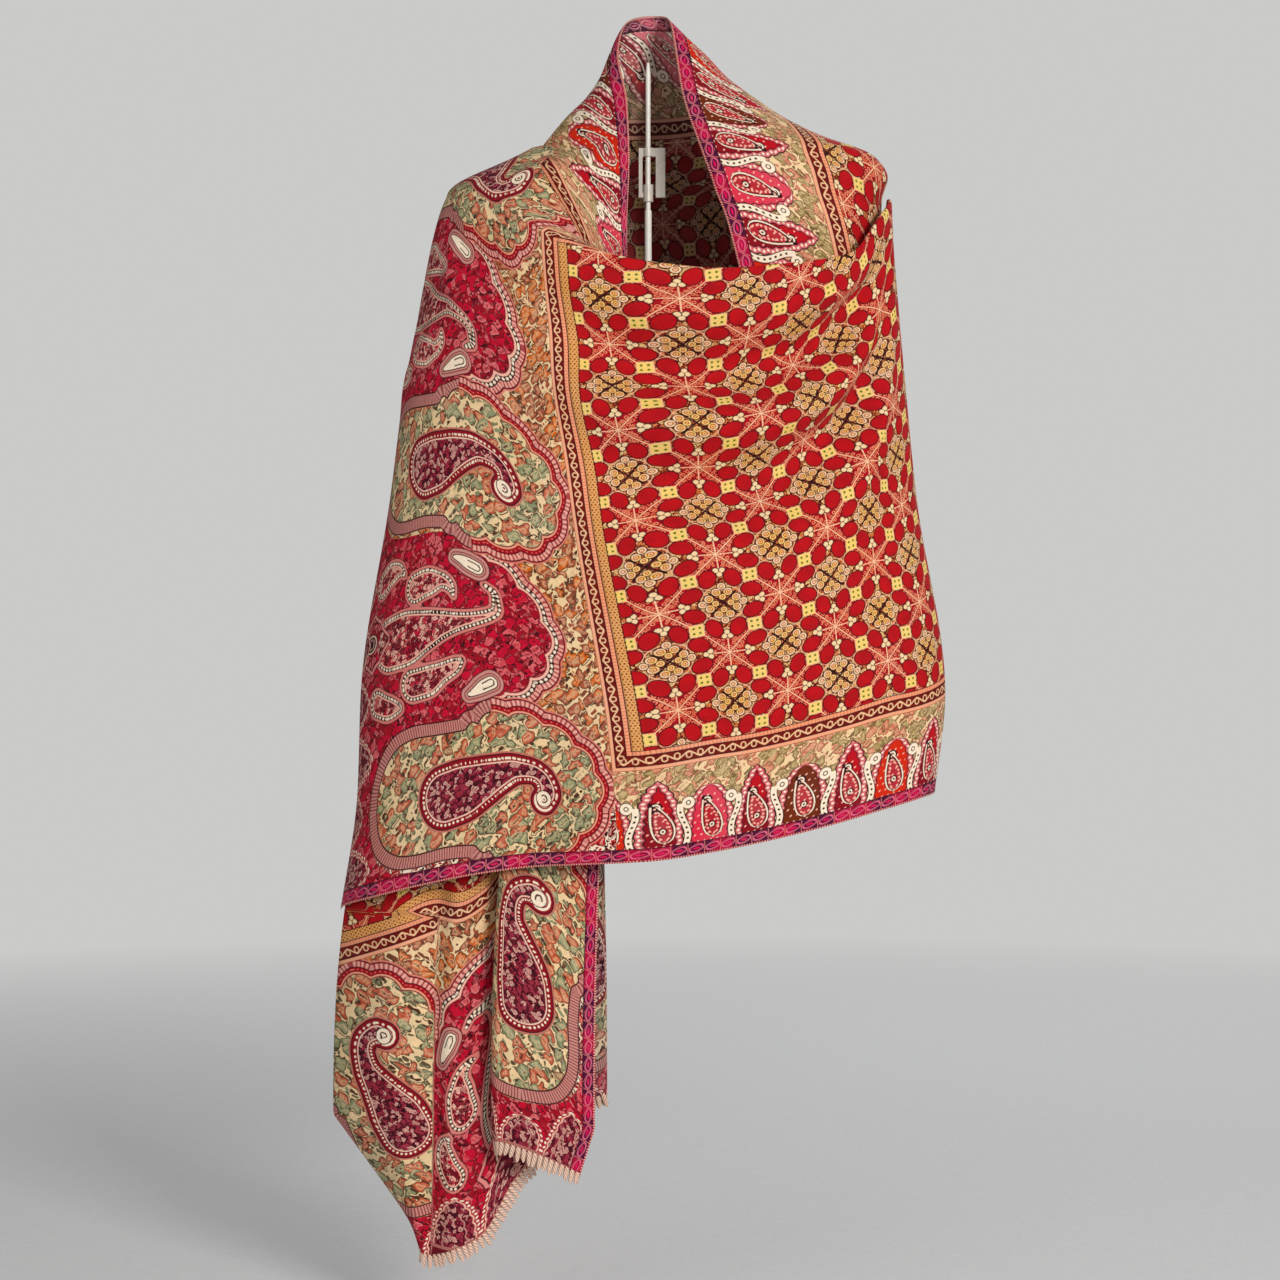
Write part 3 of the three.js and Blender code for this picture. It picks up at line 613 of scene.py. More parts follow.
def joined_xyz(a, b):
    node = new_node("ShaderNodeCombineXYZ", {0: a, 1: b})
    return Wire(node.id_data, node.outputs[0])


def apart(a, b):
    """The length of a step of a one way and b the other."""
    node = new_node("ShaderNodeVectorMath", {0: joined_xyz(a, b)}, operation="LENGTH")
    return Wire(node.id_data, node.outputs["Value"])


def beads(along, across, pitch, radius):
    return below(apart(folded(along, pitch / 2), across), radius, 0.7)


def over(mask, colour, base):
    node = new_node("ShaderNodeMix", {0: mask, 6: base, 7: colour}, data_type="RGBA")
    return Wire(node.id_data, node.outputs[2])


def spots(a, b, pitch, randomness):
    """Cells about a pitch apart: the distance from a cell's middle, its random colour and its middle."""
    node = new_node(
        "ShaderNodeTexVoronoi",
        {"Vector": joined_xyz(a, b), "Scale": 1 / pitch, "Randomness": randomness},
        voronoi_dimensions="2D",
    )
    return [Wire(node.id_data, node.outputs[key]) for key in ("Distance", "Color", "Position")]


def mottle(a, b, pitch, detail=2.0):
    node = new_node(
        "ShaderNodeTexNoise",
        {"Vector": joined_xyz(a, b), "Scale": 1 / pitch, "Detail": detail},
        noise_dimensions="2D",
    )
    return Wire(node.id_data, node.outputs["Fac"])


def red_and_green(colour):
    """Two of a random colour's parts, as two random numbers."""
    node = new_node("ShaderNodeSeparateColor", {0: colour})
    return Wire(node.id_data, node.outputs[0]), Wire(node.id_data, node.outputs[1])


def group(name, inputs, outputs, draw):
    """A node group drawn by a function of its inputs, which gives a wire for each output."""
    tree = bpy.data.node_groups.new(name, "ShaderNodeTree")
    kinds = {"f": "NodeSocketFloat", "c": "NodeSocketColor"}
    entry, leave = tree.nodes.new("NodeGroupInput"), tree.nodes.new("NodeGroupOutput")
    for listed, way in ((inputs, "INPUT"), (outputs, "OUTPUT")):
        for kind, label in (key.split(":") for key in listed.split()):
            tree.interface.new_socket(label, in_out=way, socket_type=kinds[kind])
    result = draw(*[Wire(tree, entry.outputs[key.split(":")[1]]) for key in inputs.split()])
    feed(leave.inputs, dict(enumerate(result if isinstance(result, tuple) else (result,))))
    return tree


def use(tree_group, *values):
    tree = next(v.tree for v in values if isinstance(v, Wire))
    node = tree.nodes.new("ShaderNodeGroup")
    node.node_tree = tree_group
    feed(node.inputs, dict(enumerate(values)))
    made = tuple(Wire(tree, socket) for socket in node.outputs)
    return made if len(made) > 1 else made[0]


def choose(mask, value, base):
    """One number where a mask is 1 and another where it is 0."""
    return Wire(mask.tree, new_node("ShaderNodeMix", {0: mask, 2: base, 3: value}).outputs[0])


class Drawing:
    """A colour as it is drawn, and how much of the ground is still open for blossoms."""

    def __init__(self, colour):
        self.colour, self.open = colour, 1.0

    def put(self, mask, colour):
        self.colour = over(mask, colour, self.colour)
        self.open = choose(mask, 0.0, self.open)

    def lay(self, mask, colour):
        """A new ground, open again."""
        self.colour = over(mask, colour, self.colour)
        self.open = choose(mask, 1.0, self.open)


# ---------------------------------------------------------------- the weave's drawing
RED, DEEP_RED, MAROON = rgb("b80c1c"), rgb("860a1a"), rgb("300710")
CREAM, YELLOW, WHITE = rgb("efd2aa"), rgb("efcf86"), rgb("f8e6d0")
PINK, PALE_PINK, ROSE = rgb("e8958c"), rgb("f4bfae"), rgb("c9928a")
MAGENTA, PURPLE, BROWN, BLACK = rgb("a81a42"), rgb("4c1236"), rgb("6d3222"), rgb("1c0a0e")

# The hem's height, the tops of the border and of the corner, and the guard stripe's width.
HEM_HEIGHT, BORDER_TOP, CORNER_TOP, GUARD = 13, 87, 66, 19.0
# The gold band inside the guard stripe, with its dark line.
GOLD_BAND, GOLD_LINE = 8.5, 9.3

# What grows on each ground: the blossoms' pitch in mm, their two colours and the stems' colour.
GROUNDS = {
    "stars": (4.2, rgb("e58a72"), rgb("b8202a"), rgb("8c0c16")),
    "crosses": (4.4, rgb("f0cc96"), rgb("e09068"), rgb("6a1418")),
    "border": (9.5, rgb("a08c62"), rgb("c88270"), rgb("6e5a3c")),
    "outer": (12.0, rgb("cc7450"), rgb("a8604e"), rgb("4c3426")),
    "corner": (10.0, DEEP_RED, RED, MAROON),
    "gourd": (12.0, rgb("c06c5a"), rgb("888e6e"), rgb("4e3226")),
    "red_head": (9.0, rgb("cc3c4c"), rgb("e07c80"), rgb("3c0812")),
    "boteh": (5.0, rgb("dcaaa0"), rgb("a84c58"), rgb("5e1424")),
    "small_boteh": (5.4, rgb("5a0f1c"), rgb("f2c4b4"), rgb("3a0a14")),
}
KINDS = list(GROUNDS)
# A pitch is kept as a share of this, to pass as a colour.
PITCH_UNIT = 20


def number_of(ground):
    return (KINDS.index(ground) + 0.5) / len(KINDS)


def by_ground(number, column):
    """A ground's colour, or its pitch as a share of the unit, from its number."""
    node = new_node("ShaderNodeValToRGB", {0: number})
    ramp = node.color_ramp
    ramp.interpolation = "CONSTANT"
    for i, row in enumerate(GROUNDS.values()):
        stop = ramp.elements[i] if i < 1 else ramp.elements.new(i / len(KINDS))
        stop.position = i / len(KINDS)
        stop.color = row[column] if column else (row[0] / PITCH_UNIT,) * 3 + (1.0,)
    ramp.elements.remove(ramp.elements[-1])
    return Wire(number.tree, node.outputs[0])


def draw_blossoms(base, room, number, u, v, shade):
    """Small blossoms, drops and curling stems on the open ground."""
    pitch = red_and_green(by_ground(number, 0))[0] * PITCH_UNIT
    first, second, stem = (by_ground(number, column) for column in (1, 2, 3))
    base = over(maths("MULTIPLY_ADD", shade, 2.4, -1.0, clamp=True) * room * 0.3, second, base)
    a, b = u / pitch, v / pitch
    warp = mottle(a, b, 0.9, 1.0)
    a, b = maths("MULTIPLY_ADD", warp, 1.3, a), maths("MULTIPLY_ADD", warp, -1.1, b)
    near, shade, place = spots(a, b, 1.0, 0.9)
    pick, other = red_and_green(shade)
    offset = new_node("ShaderNodeVectorMath", {0: joined_xyz(a, b), 1: place}, operation="SUBTRACT")
    parts = new_node("ShaderNodeSeparateXYZ", {0: Wire(base.tree, offset.outputs[0])})
    aside, upright = (Wire(base.tree, parts.outputs[i]) for i in (0, 1))
    angle = maths("ARCTAN2", upright, aside) + other * 6.3
    petals = near + maths("SINE", angle * 5.0) * 0.05
    drop = near + maths("SINE", angle) * 0.15
    bloom = below(pick, 0.45, 0.02)
    shape = choose(bloom, petals, drop)
    bud, bud_shade, _ = spots(a, b, 0.36, 1.0)
    bud_pick, bud_other = red_and_green(bud_shade)
    in_bud = below(bud, 0.44, 0.12) * below(bud_pick, 0.6, 0.05) * room
    colour = over(in_bud, over(below(bud_other, 0.5), stem, second), base)
    curl = band(near + angle * 0.018, 0.47, 0.54, 0.04) * below(maths("SINE", angle + pick * 5), 0.45, 0.1)
    colour = over(curl * room, stem, colour)
    tint = over(below(other, 0.55, 0.02), first, second)
    colour = over(below(shape, 0.45, 0.05) * room, stem, colour)
    heart = over(band(shape, 0.0, 0.22, 0.1) * 0.45, base, tint)
    colour = over(below(shape, 0.38, 0.05) * room, heart, colour)
    return over(below(shape, 0.08, 0.04) * bloom * room, stem, colour)


BLOSSOMS = group("blossoms", "c:Base f:Room f:Ground f:Along f:Across f:Shade", "c:Colour", draw_blossoms)
# Half the lattice's pitch, how far a cross reaches, and the red ovals between them.
CELL = 32.7
CROSS_REACH = 30
OVAL = {"turn": 22.5, "at": 25, "long": 8.5, "short": 6.2}


def draw_lattice(u, v, shade):
    """Stars, yellow squares and dark crosses on a net turned an eighth, with red ovals between them."""
    a, b = folded((u + v) * math.sqrt(0.5), CELL), folded((v - u) * math.sqrt(0.5), CELL)
    m, n = most(a, b), least(a, b)
    crosses = below(CROSS_REACH - a - b, 0, 2.0)
    art = Drawing(over(crosses, rgb("4c0a11"), rgb("8c0b16")))
    x, y = CELL - n, CELL - m
    art.put(band(apart(x, y), 16.4, 17.4), rgb("efc09a"))
    art.put(band(apart(m, n), 33.8, 34.8), rgb("f0b49a"))
    # Rays from a star, with loops along them, and a bud at the end of each short one.
    loops = band(apart(folded(m, 2.2), n - 2.6), 0.8, 1.6) * below(m, 24)
    art.put(loops, rgb("f0a48a"))
    art.put(most(below(n, 0.6) * below(m, 26), below(m - n, 0.8) * below(m + n, 20)), rgb("f2c4a4"))
    out, off = (m + n) * math.sqrt(0.5), (m - n) * math.sqrt(0.5)
    bud = least(apart(out - 19, off) - 2.1, apart(out - 15.2, off - 2.5) - 2.2)
    art.put(below(bud, 0.8), MAROON)
    art.put(below(bud), CREAM)
    # A cross: four leaves of three petals between thin dark arms.
    along, across = (x + y) * math.sqrt(0.5), (x - y) * math.sqrt(0.5)
    petal = least(
        apart(along - 16, across) - 3.1,
        apart(along - 10.6, across - 4.6) - 3.4,
        apart(along - 6, across) - 2.6,
    )
    art.put(below(petal, 0.8), rgb("3a0c10"))
    inner = over(below(x - y - 6), rgb("efc98c"), rgb("ecc090"))
    art.put(below(petal), over(below(along, 11.5), inner, rgb("f0d2b0")))
    art.put(band(petal, -1.9, -1.2), rgb("a8503a"))
    art.put(below(petal, -2.7), rgb("b0702e"))
    art.put(band(apart(along - 11, across), 2.4, 3.2) * below(petal, -0.6), rgb("b8742e"))
    art.put(below(y, 0.75) * below(x, 15), rgb("1c070c"))
    slant = math.radians(OVAL["turn"])
    past = m * math.cos(slant) + n * math.sin(slant) - OVAL["at"]
    oval = apart(past / OVAL["long"], (n * math.cos(slant) - m * math.sin(slant)) / OVAL["short"])
    art.put(below(oval, 1.1, 0.08), rgb("4a070e"))
    art.put(below(oval, 0.97, 0.08), over(shade, rgb("98000c"), rgb("c60613")))
    square = size_of(m - CELL) + n
    art.put(below(square, 8.2), rgb("f0c0a0"))
    art.put(below(square, 7.2), YELLOW)
    art.put(below(least(apart(size_of(m - CELL) - 3.3, n), apart(m - CELL, n - 3.5)), 1.1), rgb("66702f"))
    ground = choose(below(CROSS_REACH - a - b, 0, 0.01), number_of("crosses"), number_of("stars"))
    return art.colour, art.open, ground


LATTICE = group("field lattice", "f:Along f:Across f:Shade", "c:Colour f:Open f:Ground", draw_lattice)


def draw_hem(u, from_hem):
    """The hem band: a chain of outlined leaves on crimson and purple."""
    patches = sine(u, 61) + sine(u, 27, 1.0) * 0.7 + sine(from_hem, 26) * 0.4
    colour = over(below(patches, 0.1, 0.5), MAGENTA, PURPLE)
    lean = signed(u + from_hem * 0.9, 15.2)
    leaf = size_of(from_hem - 6.8) / 3.6 + lean * lean / 44
    colour = over(band(leaf, 0.72, 1.05, 0.2), rgb("e07a90"), colour)
    colour = over(below(leaf, 0.3, 0.15), rgb("d8506c"), colour)
    colour = over(band(size_of(lean) + size_of(from_hem - 6.8), 7.4, 8.2, 0.6) * 0.7, PINK, colour)
    colour = over(band(from_hem, 12.0, 12.9), MAROON, colour)
    whip = over(below(folded(u, 1.2), 0.6), PALE_PINK, MAGENTA)
    return over(below(from_hem, 1.5), whip, colour)


HEM = group("hem band", "f:Along f:From_hem", "c:Colour", draw_hem)

def draw_guard(along, across, shade):
    """The guard stripe: a scrolling vine on maroon between narrow lines."""
    y = across - 10.0
    vine = below(size_of(y - sine(along, 19) * 2.4), 0.8)
    scroll = band(apart(folded(along + 4.75, 4.75), size_of(y) - 0.8), 1.6, 2.7)
    colour = over(most(vine, scroll), rgb("ecc4a0"), over(shade, rgb("4a1216"), rgb("86302a")))
    ticks = over(below(folded(along, 1.6), 0.5), rgb("d98a72"), rgb("efa98c"))
    colour = over(below(across, 4.8), ticks, colour)
    colour = over(most(band(across, 4.4, 5.3), below(across, 0.8), band(across, 14.6, 15.5)), MAROON, colour)
    colour = over(band(across, 15.5, 18.6), rgb("eeb094"), colour)
    return over(below(18.6 - across), rgb("94402f"), colour)


GUARD_STRIPE = group("guard stripe", "f:Along f:Across f:Shade", "c:Colour", draw_guard)


def nest(art, d, steps, where=None):
    """Outlines one inside the other: each colour lies below its own limit."""
    for limit, colour in steps:
        art.put(below(d, limit) * where if where else below(d, limit), colour)


def beaded_edge(art, d, along):
    """A dark line and a pink beaded band just inside an outline."""
    art.put(band(d, -5.8, 0.6), MAROON)
    art.put(band(d, -5.0, -0.6), rgb("d0747a"))
    art.put(beads(along, d + 2.8, 3.8, 1.1), WHITE)


def tear_drop(x, h):
    """How far outside a small curled boteh a place is."""
    t = maths("MULTIPLY_ADD", h, 1 / 38, -3 / 38, clamp=True)
    return size_of(x + 3 - t * t * 9) - maths("SQRT", t) * (1 - t) * 23


# The border's arches: half the length of a pair, and the heights of the pointed one and the rounded one.
HALF_PAIR = 43
POINTED, ROUNDED = 62, 52


def draw_border(u, from_hem):
    """Pointed and rounded arches by turns along the hem, with hooked bands between them."""
    h = from_hem - HEM_HEIGHT
    art = Drawing(CREAM)
    x = folded(u, HALF_PAIR)
    t = maths("DIVIDE", h, POINTED, clamp=True)
    scallop = size_of(sine(h, 15)) * -1.6
    half_wide = maths("POWER", 1 - maths("POWER", t, 2.6), 0.8) * 17.5
    pointed = (x - half_wide + scallop + most(h - (POINTED - 1), 0)) * 0.85
    inside = below(pointed, 0)
    art.put(inside, RED)
    art.put(inside * below(h, 30, 6), DEEP_RED)
    beaded_edge(art, pointed, h)
    r = maths("DIVIDE", h, ROUNDED, clamp=True)
    half_wide = maths("SQRT", 1 - maths("POWER", r, 3.0)) * 22
    rounded = (HALF_PAIR - x - half_wide + scallop + most(h - (ROUNDED - 1), 0)) * 0.85
    turn = maths("WRAP", maths("FLOOR", u / (2 * HALF_PAIR)), 3, 0)
    ground = over(below(turn, 0.5, 0.1), rgb("d8606c"), over(below(turn, 1.5, 0.1), rgb("cf3527"), BROWN))
    art.put(below(rounded, 0), ground)
    beaded_edge(art, rounded, h)
    for across in (signed(u, 2 * HALF_PAIR), signed(u + HALF_PAIR, 2 * HALF_PAIR)):
        drop = tear_drop(across, h)
        there = below(2 - h)
        curl = apart(across - 3.0, h - 37)
        art.put(below(least(drop, curl - 3.6), 1.6) * there * below(h, 42), MAROON)
        art.put(band(drop, -0.5, 0.9) * there * below(h, 38), WHITE)
        art.put(band(curl, 2.2, 3.6) * below(34 - h + across), WHITE)
        art.put(below(drop, -1.6) * there * below(h, 32), rgb("b24a50"))
        art.put(beads(h, drop + 3.6, 3.6, 1.0) * below(drop, -2) * there, PALE_PINK)
        rose = apart(across + 1.5, h - 14)
        art.put(below(rose, 3.4), MAROON)
        art.put(band(rose, 1.0, 2.2), WHITE)
    dots = beads(u + h * 0.5, folded(h, 3.0), 6.0, 0.9) * below(h, 44)
    art.put(dots * below(least(rounded, pointed), -7), PALE_PINK)
    hook = x - 19.5 - sine(h, 50, 0.6) * 3.4
    curl = apart(x - 23.5, h - 38)
    art.put(most(below(size_of(hook), 3.6) * below(h, 38), below(curl, 6.2)), MAROON)
    art.put(most(below(size_of(hook), 2.8) * below(h, 38), below(curl, 5.4)), WHITE)
    art.put(most(band(curl, 1.4, 2.3), beads(h, hook, 5.0, 1.1) * below(h, 34)), BLACK)
    return art.colour, art.open


BORDER = group("arched border", "f:Along f:From_hem", "c:Colour f:Open", draw_border)


def ticked(along, pitch, light, dark):
    return over(below(folded(along, pitch / 2), pitch * 0.2, pitch * 0.2), dark, light)


def lobed_edge(art, d, along, there, plain_band):
    """The bands outside a lobed head: a red band or a row of beads, then ticks and a red line."""
    ticks = ticked(along, 2.6, rgb("eab0a4"), rgb("a85454"))
    nest(art, d, [(15, rgb("e08a80")), (13.6, rgb("5e0a16")), (12.2, ticks), (7.4, MAROON)], there)
    if plain_band:
        art.put(below(d, 6.6) * there, rgb("9c0f1e"))
        art.put(beads(along, d - 4.8, 3.4, 0.6) * there, rgb("e8857c"))
        art.put(below(d, 2.6) * there, rgb("e8a890"))
    else:
        art.put(beads(along, d - 5.2, 3.8, 1.3) * there, WHITE)
        art.put(below(d, 3.2) * there, PALE_PINK)
    art.put(below(d, 1.0) * there, rgb("7a1c2c"))


# Where the lobed heads, the medallions and the panel lie past the guard stripe, and the arches' heights.
HEADS_END = 128
MEDAL = {"at": 262, "half": 29, "wide": 21}
PANEL_LENGTH = 314
LOW_ARCH, TALL_ARCH = 28.0, 45.0


def draw_panel(s, v, from_hem, gourd, gourd_at, red, red_at, boteh, boteh_at, small, small_at, eye, swirl):
    """An end panel: gourds and lobed heads by turns, with botehs in them."""
    art = Drawing(over(below(from_hem, CORNER_TOP, 2.0), WHITE, CREAM))
    at_head = below(s, HEADS_END, 2.0)
    lobed_edge(art, red, red_at, at_head, False)
    art.lay(below(red, 0), rgb("940c20"))
    nest(art, small, [(1.6, MAROON), (0.9, rgb("d88a84")), (-1.4, rgb("2a0a12"))])
    art.put(beads(small_at, small + 3.1, 3.8, 1.2), WHITE)
    art.put(below(small, -4.8), PALE_PINK)
    art.lay(below(small, -6.2), rgb("b8404e"))
    below_head = 1 - at_head
    ticks = ticked(gourd_at, 2.6, ROSE, rgb("8c4a4a"))
    nest(art, gourd, [(12.0, rgb("3a1018")), (10.8, ticks), (1.3, MAROON)], below_head)
    lobed_edge(art, gourd, gourd_at, at_head, True)
    art.lay(below(gourd, 0), CREAM)
    nest(art, boteh, [(2.2, rgb("c47a70")), (0.6, MAROON), (-0.4, rgb("8a0a1c"))])
    art.put(beads(boteh_at, boteh + 3.9, 4.2, 1.15), WHITE)
    art.put(below(boteh, -6.2), rgb("f2cdbc"))
    art.lay(below(boteh, -7.5), rgb("2c0812"))
    art.put(below(swirl, 0.8), MAROON)
    art.put(below(swirl), WHITE)
    art.put(band(swirl, -4.2, -3.0) * below(s, SWIRL[0] + 2), MAROON)
    art.put(below(swirl, -5.4), DEEP_RED)
    nest(art, eye, [(6.6, rgb("5a1a24")), (5.6, ROSE)])
    art.put(band(eye, 2.2, 3.2), rgb("8c4a4a"))
    nest(art, eye, [(0.9, MAROON), (0, WHITE)])
    art.put(band(eye, -2.9, -1.9) * below(s, 133), BLACK)
    # A pointed medallion under each red head.
    high = size_of(s - MEDAL["at"]) / MEDAL["half"]
    wide = size_of(signed(v - BLOCK * 1.5, BLOCK * 2))
    lobes = size_of(sine(s - MEDAL["at"], MEDAL["half"])) * 2.0
    medal = (wide - (1 - maths("POWER", high, 1.5)) * MEDAL["wide"] + lobes + most(high - 1, 0) * 40) * 0.8
    nest(art, medal, [(4.8, MAROON), (4.0, rgb("e09490")), (1.6, MAROON)])
    art.lay(below(medal, 0.6), rgb("8c0c20"))
    seed = apart(wide, (s - 264) * 0.65)
    art.put(below(seed, 9.0), MAROON)
    art.put(band(seed, 6.6, 8.0), rgb("f2cdbc"))
    art.put(beads(s, seed - 4.2, 3.8, 1.0), PALE_PINK)
    # Tall dark arches stand along the fringed edge, three to a block, with a low one under each gourd.
    h = PANEL_LENGTH - s
    across = signed(v - BLOCK / 2, BLOCK / 3)
    under = below(size_of(signed(v - BLOCK / 2, BLOCK * 2)), BLOCK / 6, 0.01)
    tall = choose(under, LOW_ARCH, TALL_ARCH)
    t = maths("DIVIDE", h, tall, clamp=True)
    bulge = maths("POWER", 1 - maths("POWER", t, 2.4), 0.8) * 19 + size_of(sine(h, 17)) * 1.6
    foot = (size_of(across) - bulge + most(h - tall + 1, 0) * 1.5) * 0.85
    low = below(h, 49, 1.0)
    art.put(low * below(foot, 3.8), rgb("a8424c"))
    art.put(low * beads(h, foot - 1.9, 3.8, 1.1), WHITE)
    art.lay(low * below(foot, 0), rgb("3a0a18"))
    art.put(low * band(foot, -1.4, 0), PALE_PINK)
    art.put(low * band(foot, -8.5, -7.3) * below(h, 30), ROSE)
    nest(art, h, [(1.6, rgb("b87a74")), (-1.5, rgb("6d1020"))])
    number = choose(below(from_hem, CORNER_TOP, 0.01), number_of("corner"), number_of("outer"))
    grounds = (
        (red, 0, "red_head"), (small, -6.2, "small_boteh"), (gourd, 0, "gourd"), (boteh, -7.5, "boteh"),
    )
    for place, limit, kind in grounds:
        number = choose(below(place, limit, 0.01), number_of(kind), number)
    return art.colour, art.open, choose(below(h, 49, 0.01) * below(foot, 0, 0.01), number_of("boteh"), number)


FIELDS = "gourd gourd_at red_head red_at boteh boteh_at small_boteh small_at eye swirl".split()
PANEL_INPUTS = " ".join("f:" + key for key in ["s", "v", "from_hem", *FIELDS])
PANEL = group("end panel", PANEL_INPUTS, "c:Colour f:Open f:Ground", draw_panel)


def draw_cloth(u, v, s, shade, fields):
    """The whole cloth's face; s is how far past the guard stripe's inner line a place is."""
    from_hem = least(v, CLOTH_WIDTH - v)
    art = Drawing(None)
    art.colour, art.open, number = use(LATTICE, u, v, shade)
    dots = most(
        beads(v, folded(s, 3.4) - 1.7, 5.0, 0.9),
        beads(v + 2.5, folded(s + 1.7, 3.4) - 1.7, 5.0, 0.7),
    )
    art.put(band(s, -GOLD_BAND, 0), over(dots, rgb("9a4228"), rgb("dcab78")))
    art.put(band(s, -GOLD_LINE, -GOLD_BAND), MAROON)
    run = u
    if fields:
        panel, room, planted = use(PANEL, s, v, from_hem, *fields)
        beyond = below(GUARD - s)
        art.colour, art.open = over(beyond, panel, art.colour), choose(beyond, room, art.open)
        number = choose(beyond, planted, number)
        run = choose(below(BORDER_TOP + GUARD - from_hem - s), v, u)
    beside = below(from_hem, BORDER_TOP) * below(s, GUARD)
    border, room = use(BORDER, u, from_hem)
    art.colour, art.open = over(beside, border, art.colour), choose(beside, room, art.open)
    number = choose(beside, number_of("border"), number)
    past = most(s, BORDER_TOP + GUARD - from_hem)
    art.put(band(past, 0, GUARD) * below(s, GUARD), use(GUARD_STRIPE, run, past, shade))
    art.put(below(from_hem, HEM_HEIGHT), use(HEM, u, from_hem))
    return use(BLOSSOMS, art.colour, art.open, number, u, v, shade)


WOOL_SHINE = 0.2
HARD_IOR = 1.45


def fresh(name):
    """A material with only its shader and output."""
    material = bpy.data.materials.new(name)
    material.use_nodes = True
    tree = material.node_tree
    tree.nodes.clear()
    shader = tree.nodes.new("ShaderNodeBsdfPrincipled")
    output = tree.nodes.new("ShaderNodeOutputMaterial")
    tree.links.new(shader.outputs[0], output.inputs[0])
    return material, tree, shader


def bumped(shader, height, strength, distance):
    bump = new_node("ShaderNodeBump", {"Height": height, "Strength": strength, "Distance": distance})
    height.tree.links.new(bump.outputs[0], shader.inputs["Normal"])


def even_grain(tree, scale, detail):
    """Fine noise all over a piece."""
    place = Wire(tree, tree.nodes.new("ShaderNodeTexCoord").outputs["Object"])
    noise = new_node("ShaderNodeTexNoise", {"Vector": place, "Scale": scale, "Detail": detail})
    return Wire(tree, noise.outputs["Fac"])


def from_mesh(tree, name):
    node = tree.nodes.new("ShaderNodeAttribute")
    node.attribute_name = name
    return Wire(tree, node.outputs["Fac"])


def woven(name, panel, reverse):
    """The woven cloth's face, or its duller reverse."""
    material, tree, shader = fresh(name)
    uv = tree.nodes.new("ShaderNodeUVMap")
    uv.uv_map = "cloth"
    parts = new_node("ShaderNodeSeparateXYZ", {0: Wire(tree, uv.outputs[0])})
    u, v = Wire(tree, parts.outputs[0]) * 1000, Wire(tree, parts.outputs[1]) * 1000
    # The threads shift each line of the drawing a little.
    shift = mottle(u * 3, v * 0.3, 1.0) - 0.5
    v = v + shift * 0.9
    shade = mottle(u, v, 14.0)
    fields = [from_mesh(tree, key) + shift * 0.8 for key in FIELDS] if panel else None
    colour = draw_cloth(u, v, from_mesh(tree, "s"), shade, fields)
    thread = mottle(u * 2.2, v * 0.55, 1.0, 3.0)
    worn = mottle(u, v, 60.0, 4.0)
    tone = new_node(
        "ShaderNodeHueSaturation",
        {
            "Color": colour,
            "Saturation": maths("MULTIPLY_ADD", worn, 0.2, 0.8 if reverse else 1.02),
            "Value": maths("MULTIPLY_ADD", thread, 0.7, 0.6),
        },
    )
    feed(shader.inputs, {
        "Base Color": Wire(tree, tone.outputs[0]),
        "Roughness": maths("MULTIPLY_ADD", thread, 0.25, 0.7),
        "Specular IOR Level": WOOL_SHINE,
        "Sheen Weight": 0.02,
        "Sheen Roughness": 0.5,
    })
    bumped(shader, sine(u + v, 1.5) * 0.5 + thread, 0.35, 0.0004)
    return material


def plain(name, colour, roughness, grain=0.0, transmission=0.0):
    """A hard finish with faint wear."""
    material, tree, shader = fresh(name)
    wear = even_grain(tree, 180.0, 4.0)
    darker = tuple(c * 0.86 for c in colour[:3]) + (1.0,)
    feed(shader.inputs, {
        "Base Color": over(wear, darker, colour),
        "Roughness": maths("MULTIPLY_ADD", wear, 0.18, roughness),
        "Transmission Weight": transmission,
        "IOR": HARD_IOR,
    })
    if grain:
        bumped(shader, wear, grain, 0.0002)
    return material


# ---------------------------------------------------------------- the pieces
field_face, field_reverse = woven("field_cloth", False, False), woven("field_reverse", False, True)
panel_face, panel_reverse = woven("panel_cloth", True, False), woven("panel_reverse", True, True)


def cells(wide, high):
    return ((wide, high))


# Where the rim falls on the cloth's width: its upper border is turned in.
RIM_AT = table("u v", [
    (0, 483), (30, 518), (75, 530), (129, 545), (182, 565), (254, 580), (300, 590), (358, 606), (414, 628),
    (505, 600), (678, 606),
])
# How many rows and columns a stretch's lengths are measured on, and a place well clear of any end panel.
OUTER_SAMPLES, BACK_SAMPLES = 160, 200
FAR_FROM_PANEL = -500.0


def outer_fields(surface, first_u, last_u, with_panel):
    def measure(s, t, points):
        length = arc_rows(surface, OUTER_SAMPLES, s, t)[0]
        to_rim = arc_rows(surface, OUTER_SAMPLES, s, np.full_like(t, 1 - TURNED_IN))[0]
        u = mix(first_u, last_u, s)
        v = length / to_rim * through(RIM_AT, "v", u)
        fields = {"u": u, "v": v, "s": u - GUARD_AT}
        if with_panel:
            fields |= panel_fields(u - GUARD_AT, v)
        return fields

    return measure


def front_surface(s, t):
    return outer_point(s * GUARD_AT, up_to(t))


def thrown_surface(s, t):
    return outer_point(mix(GUARD_AT, THROWN_EDGE_AT, s), up_to(t))


def back_fields(s, t, points):
    length, whole, along = arc_rows(back_point, BACK_SAMPLES, s, t)
    _, whole_at_seam, seam = arc_rows(back_point, BACK_SAMPLES, np.full_like(s, SEAM_AT), t)
    whole = np.where(s < SEAM_AT, whole, whole_at_seam)
    return {"u": along - seam, "v": CLOTH_WIDTH * (1 - length / whole), "s": np.full_like(s, FAR_FROM_PANEL)}


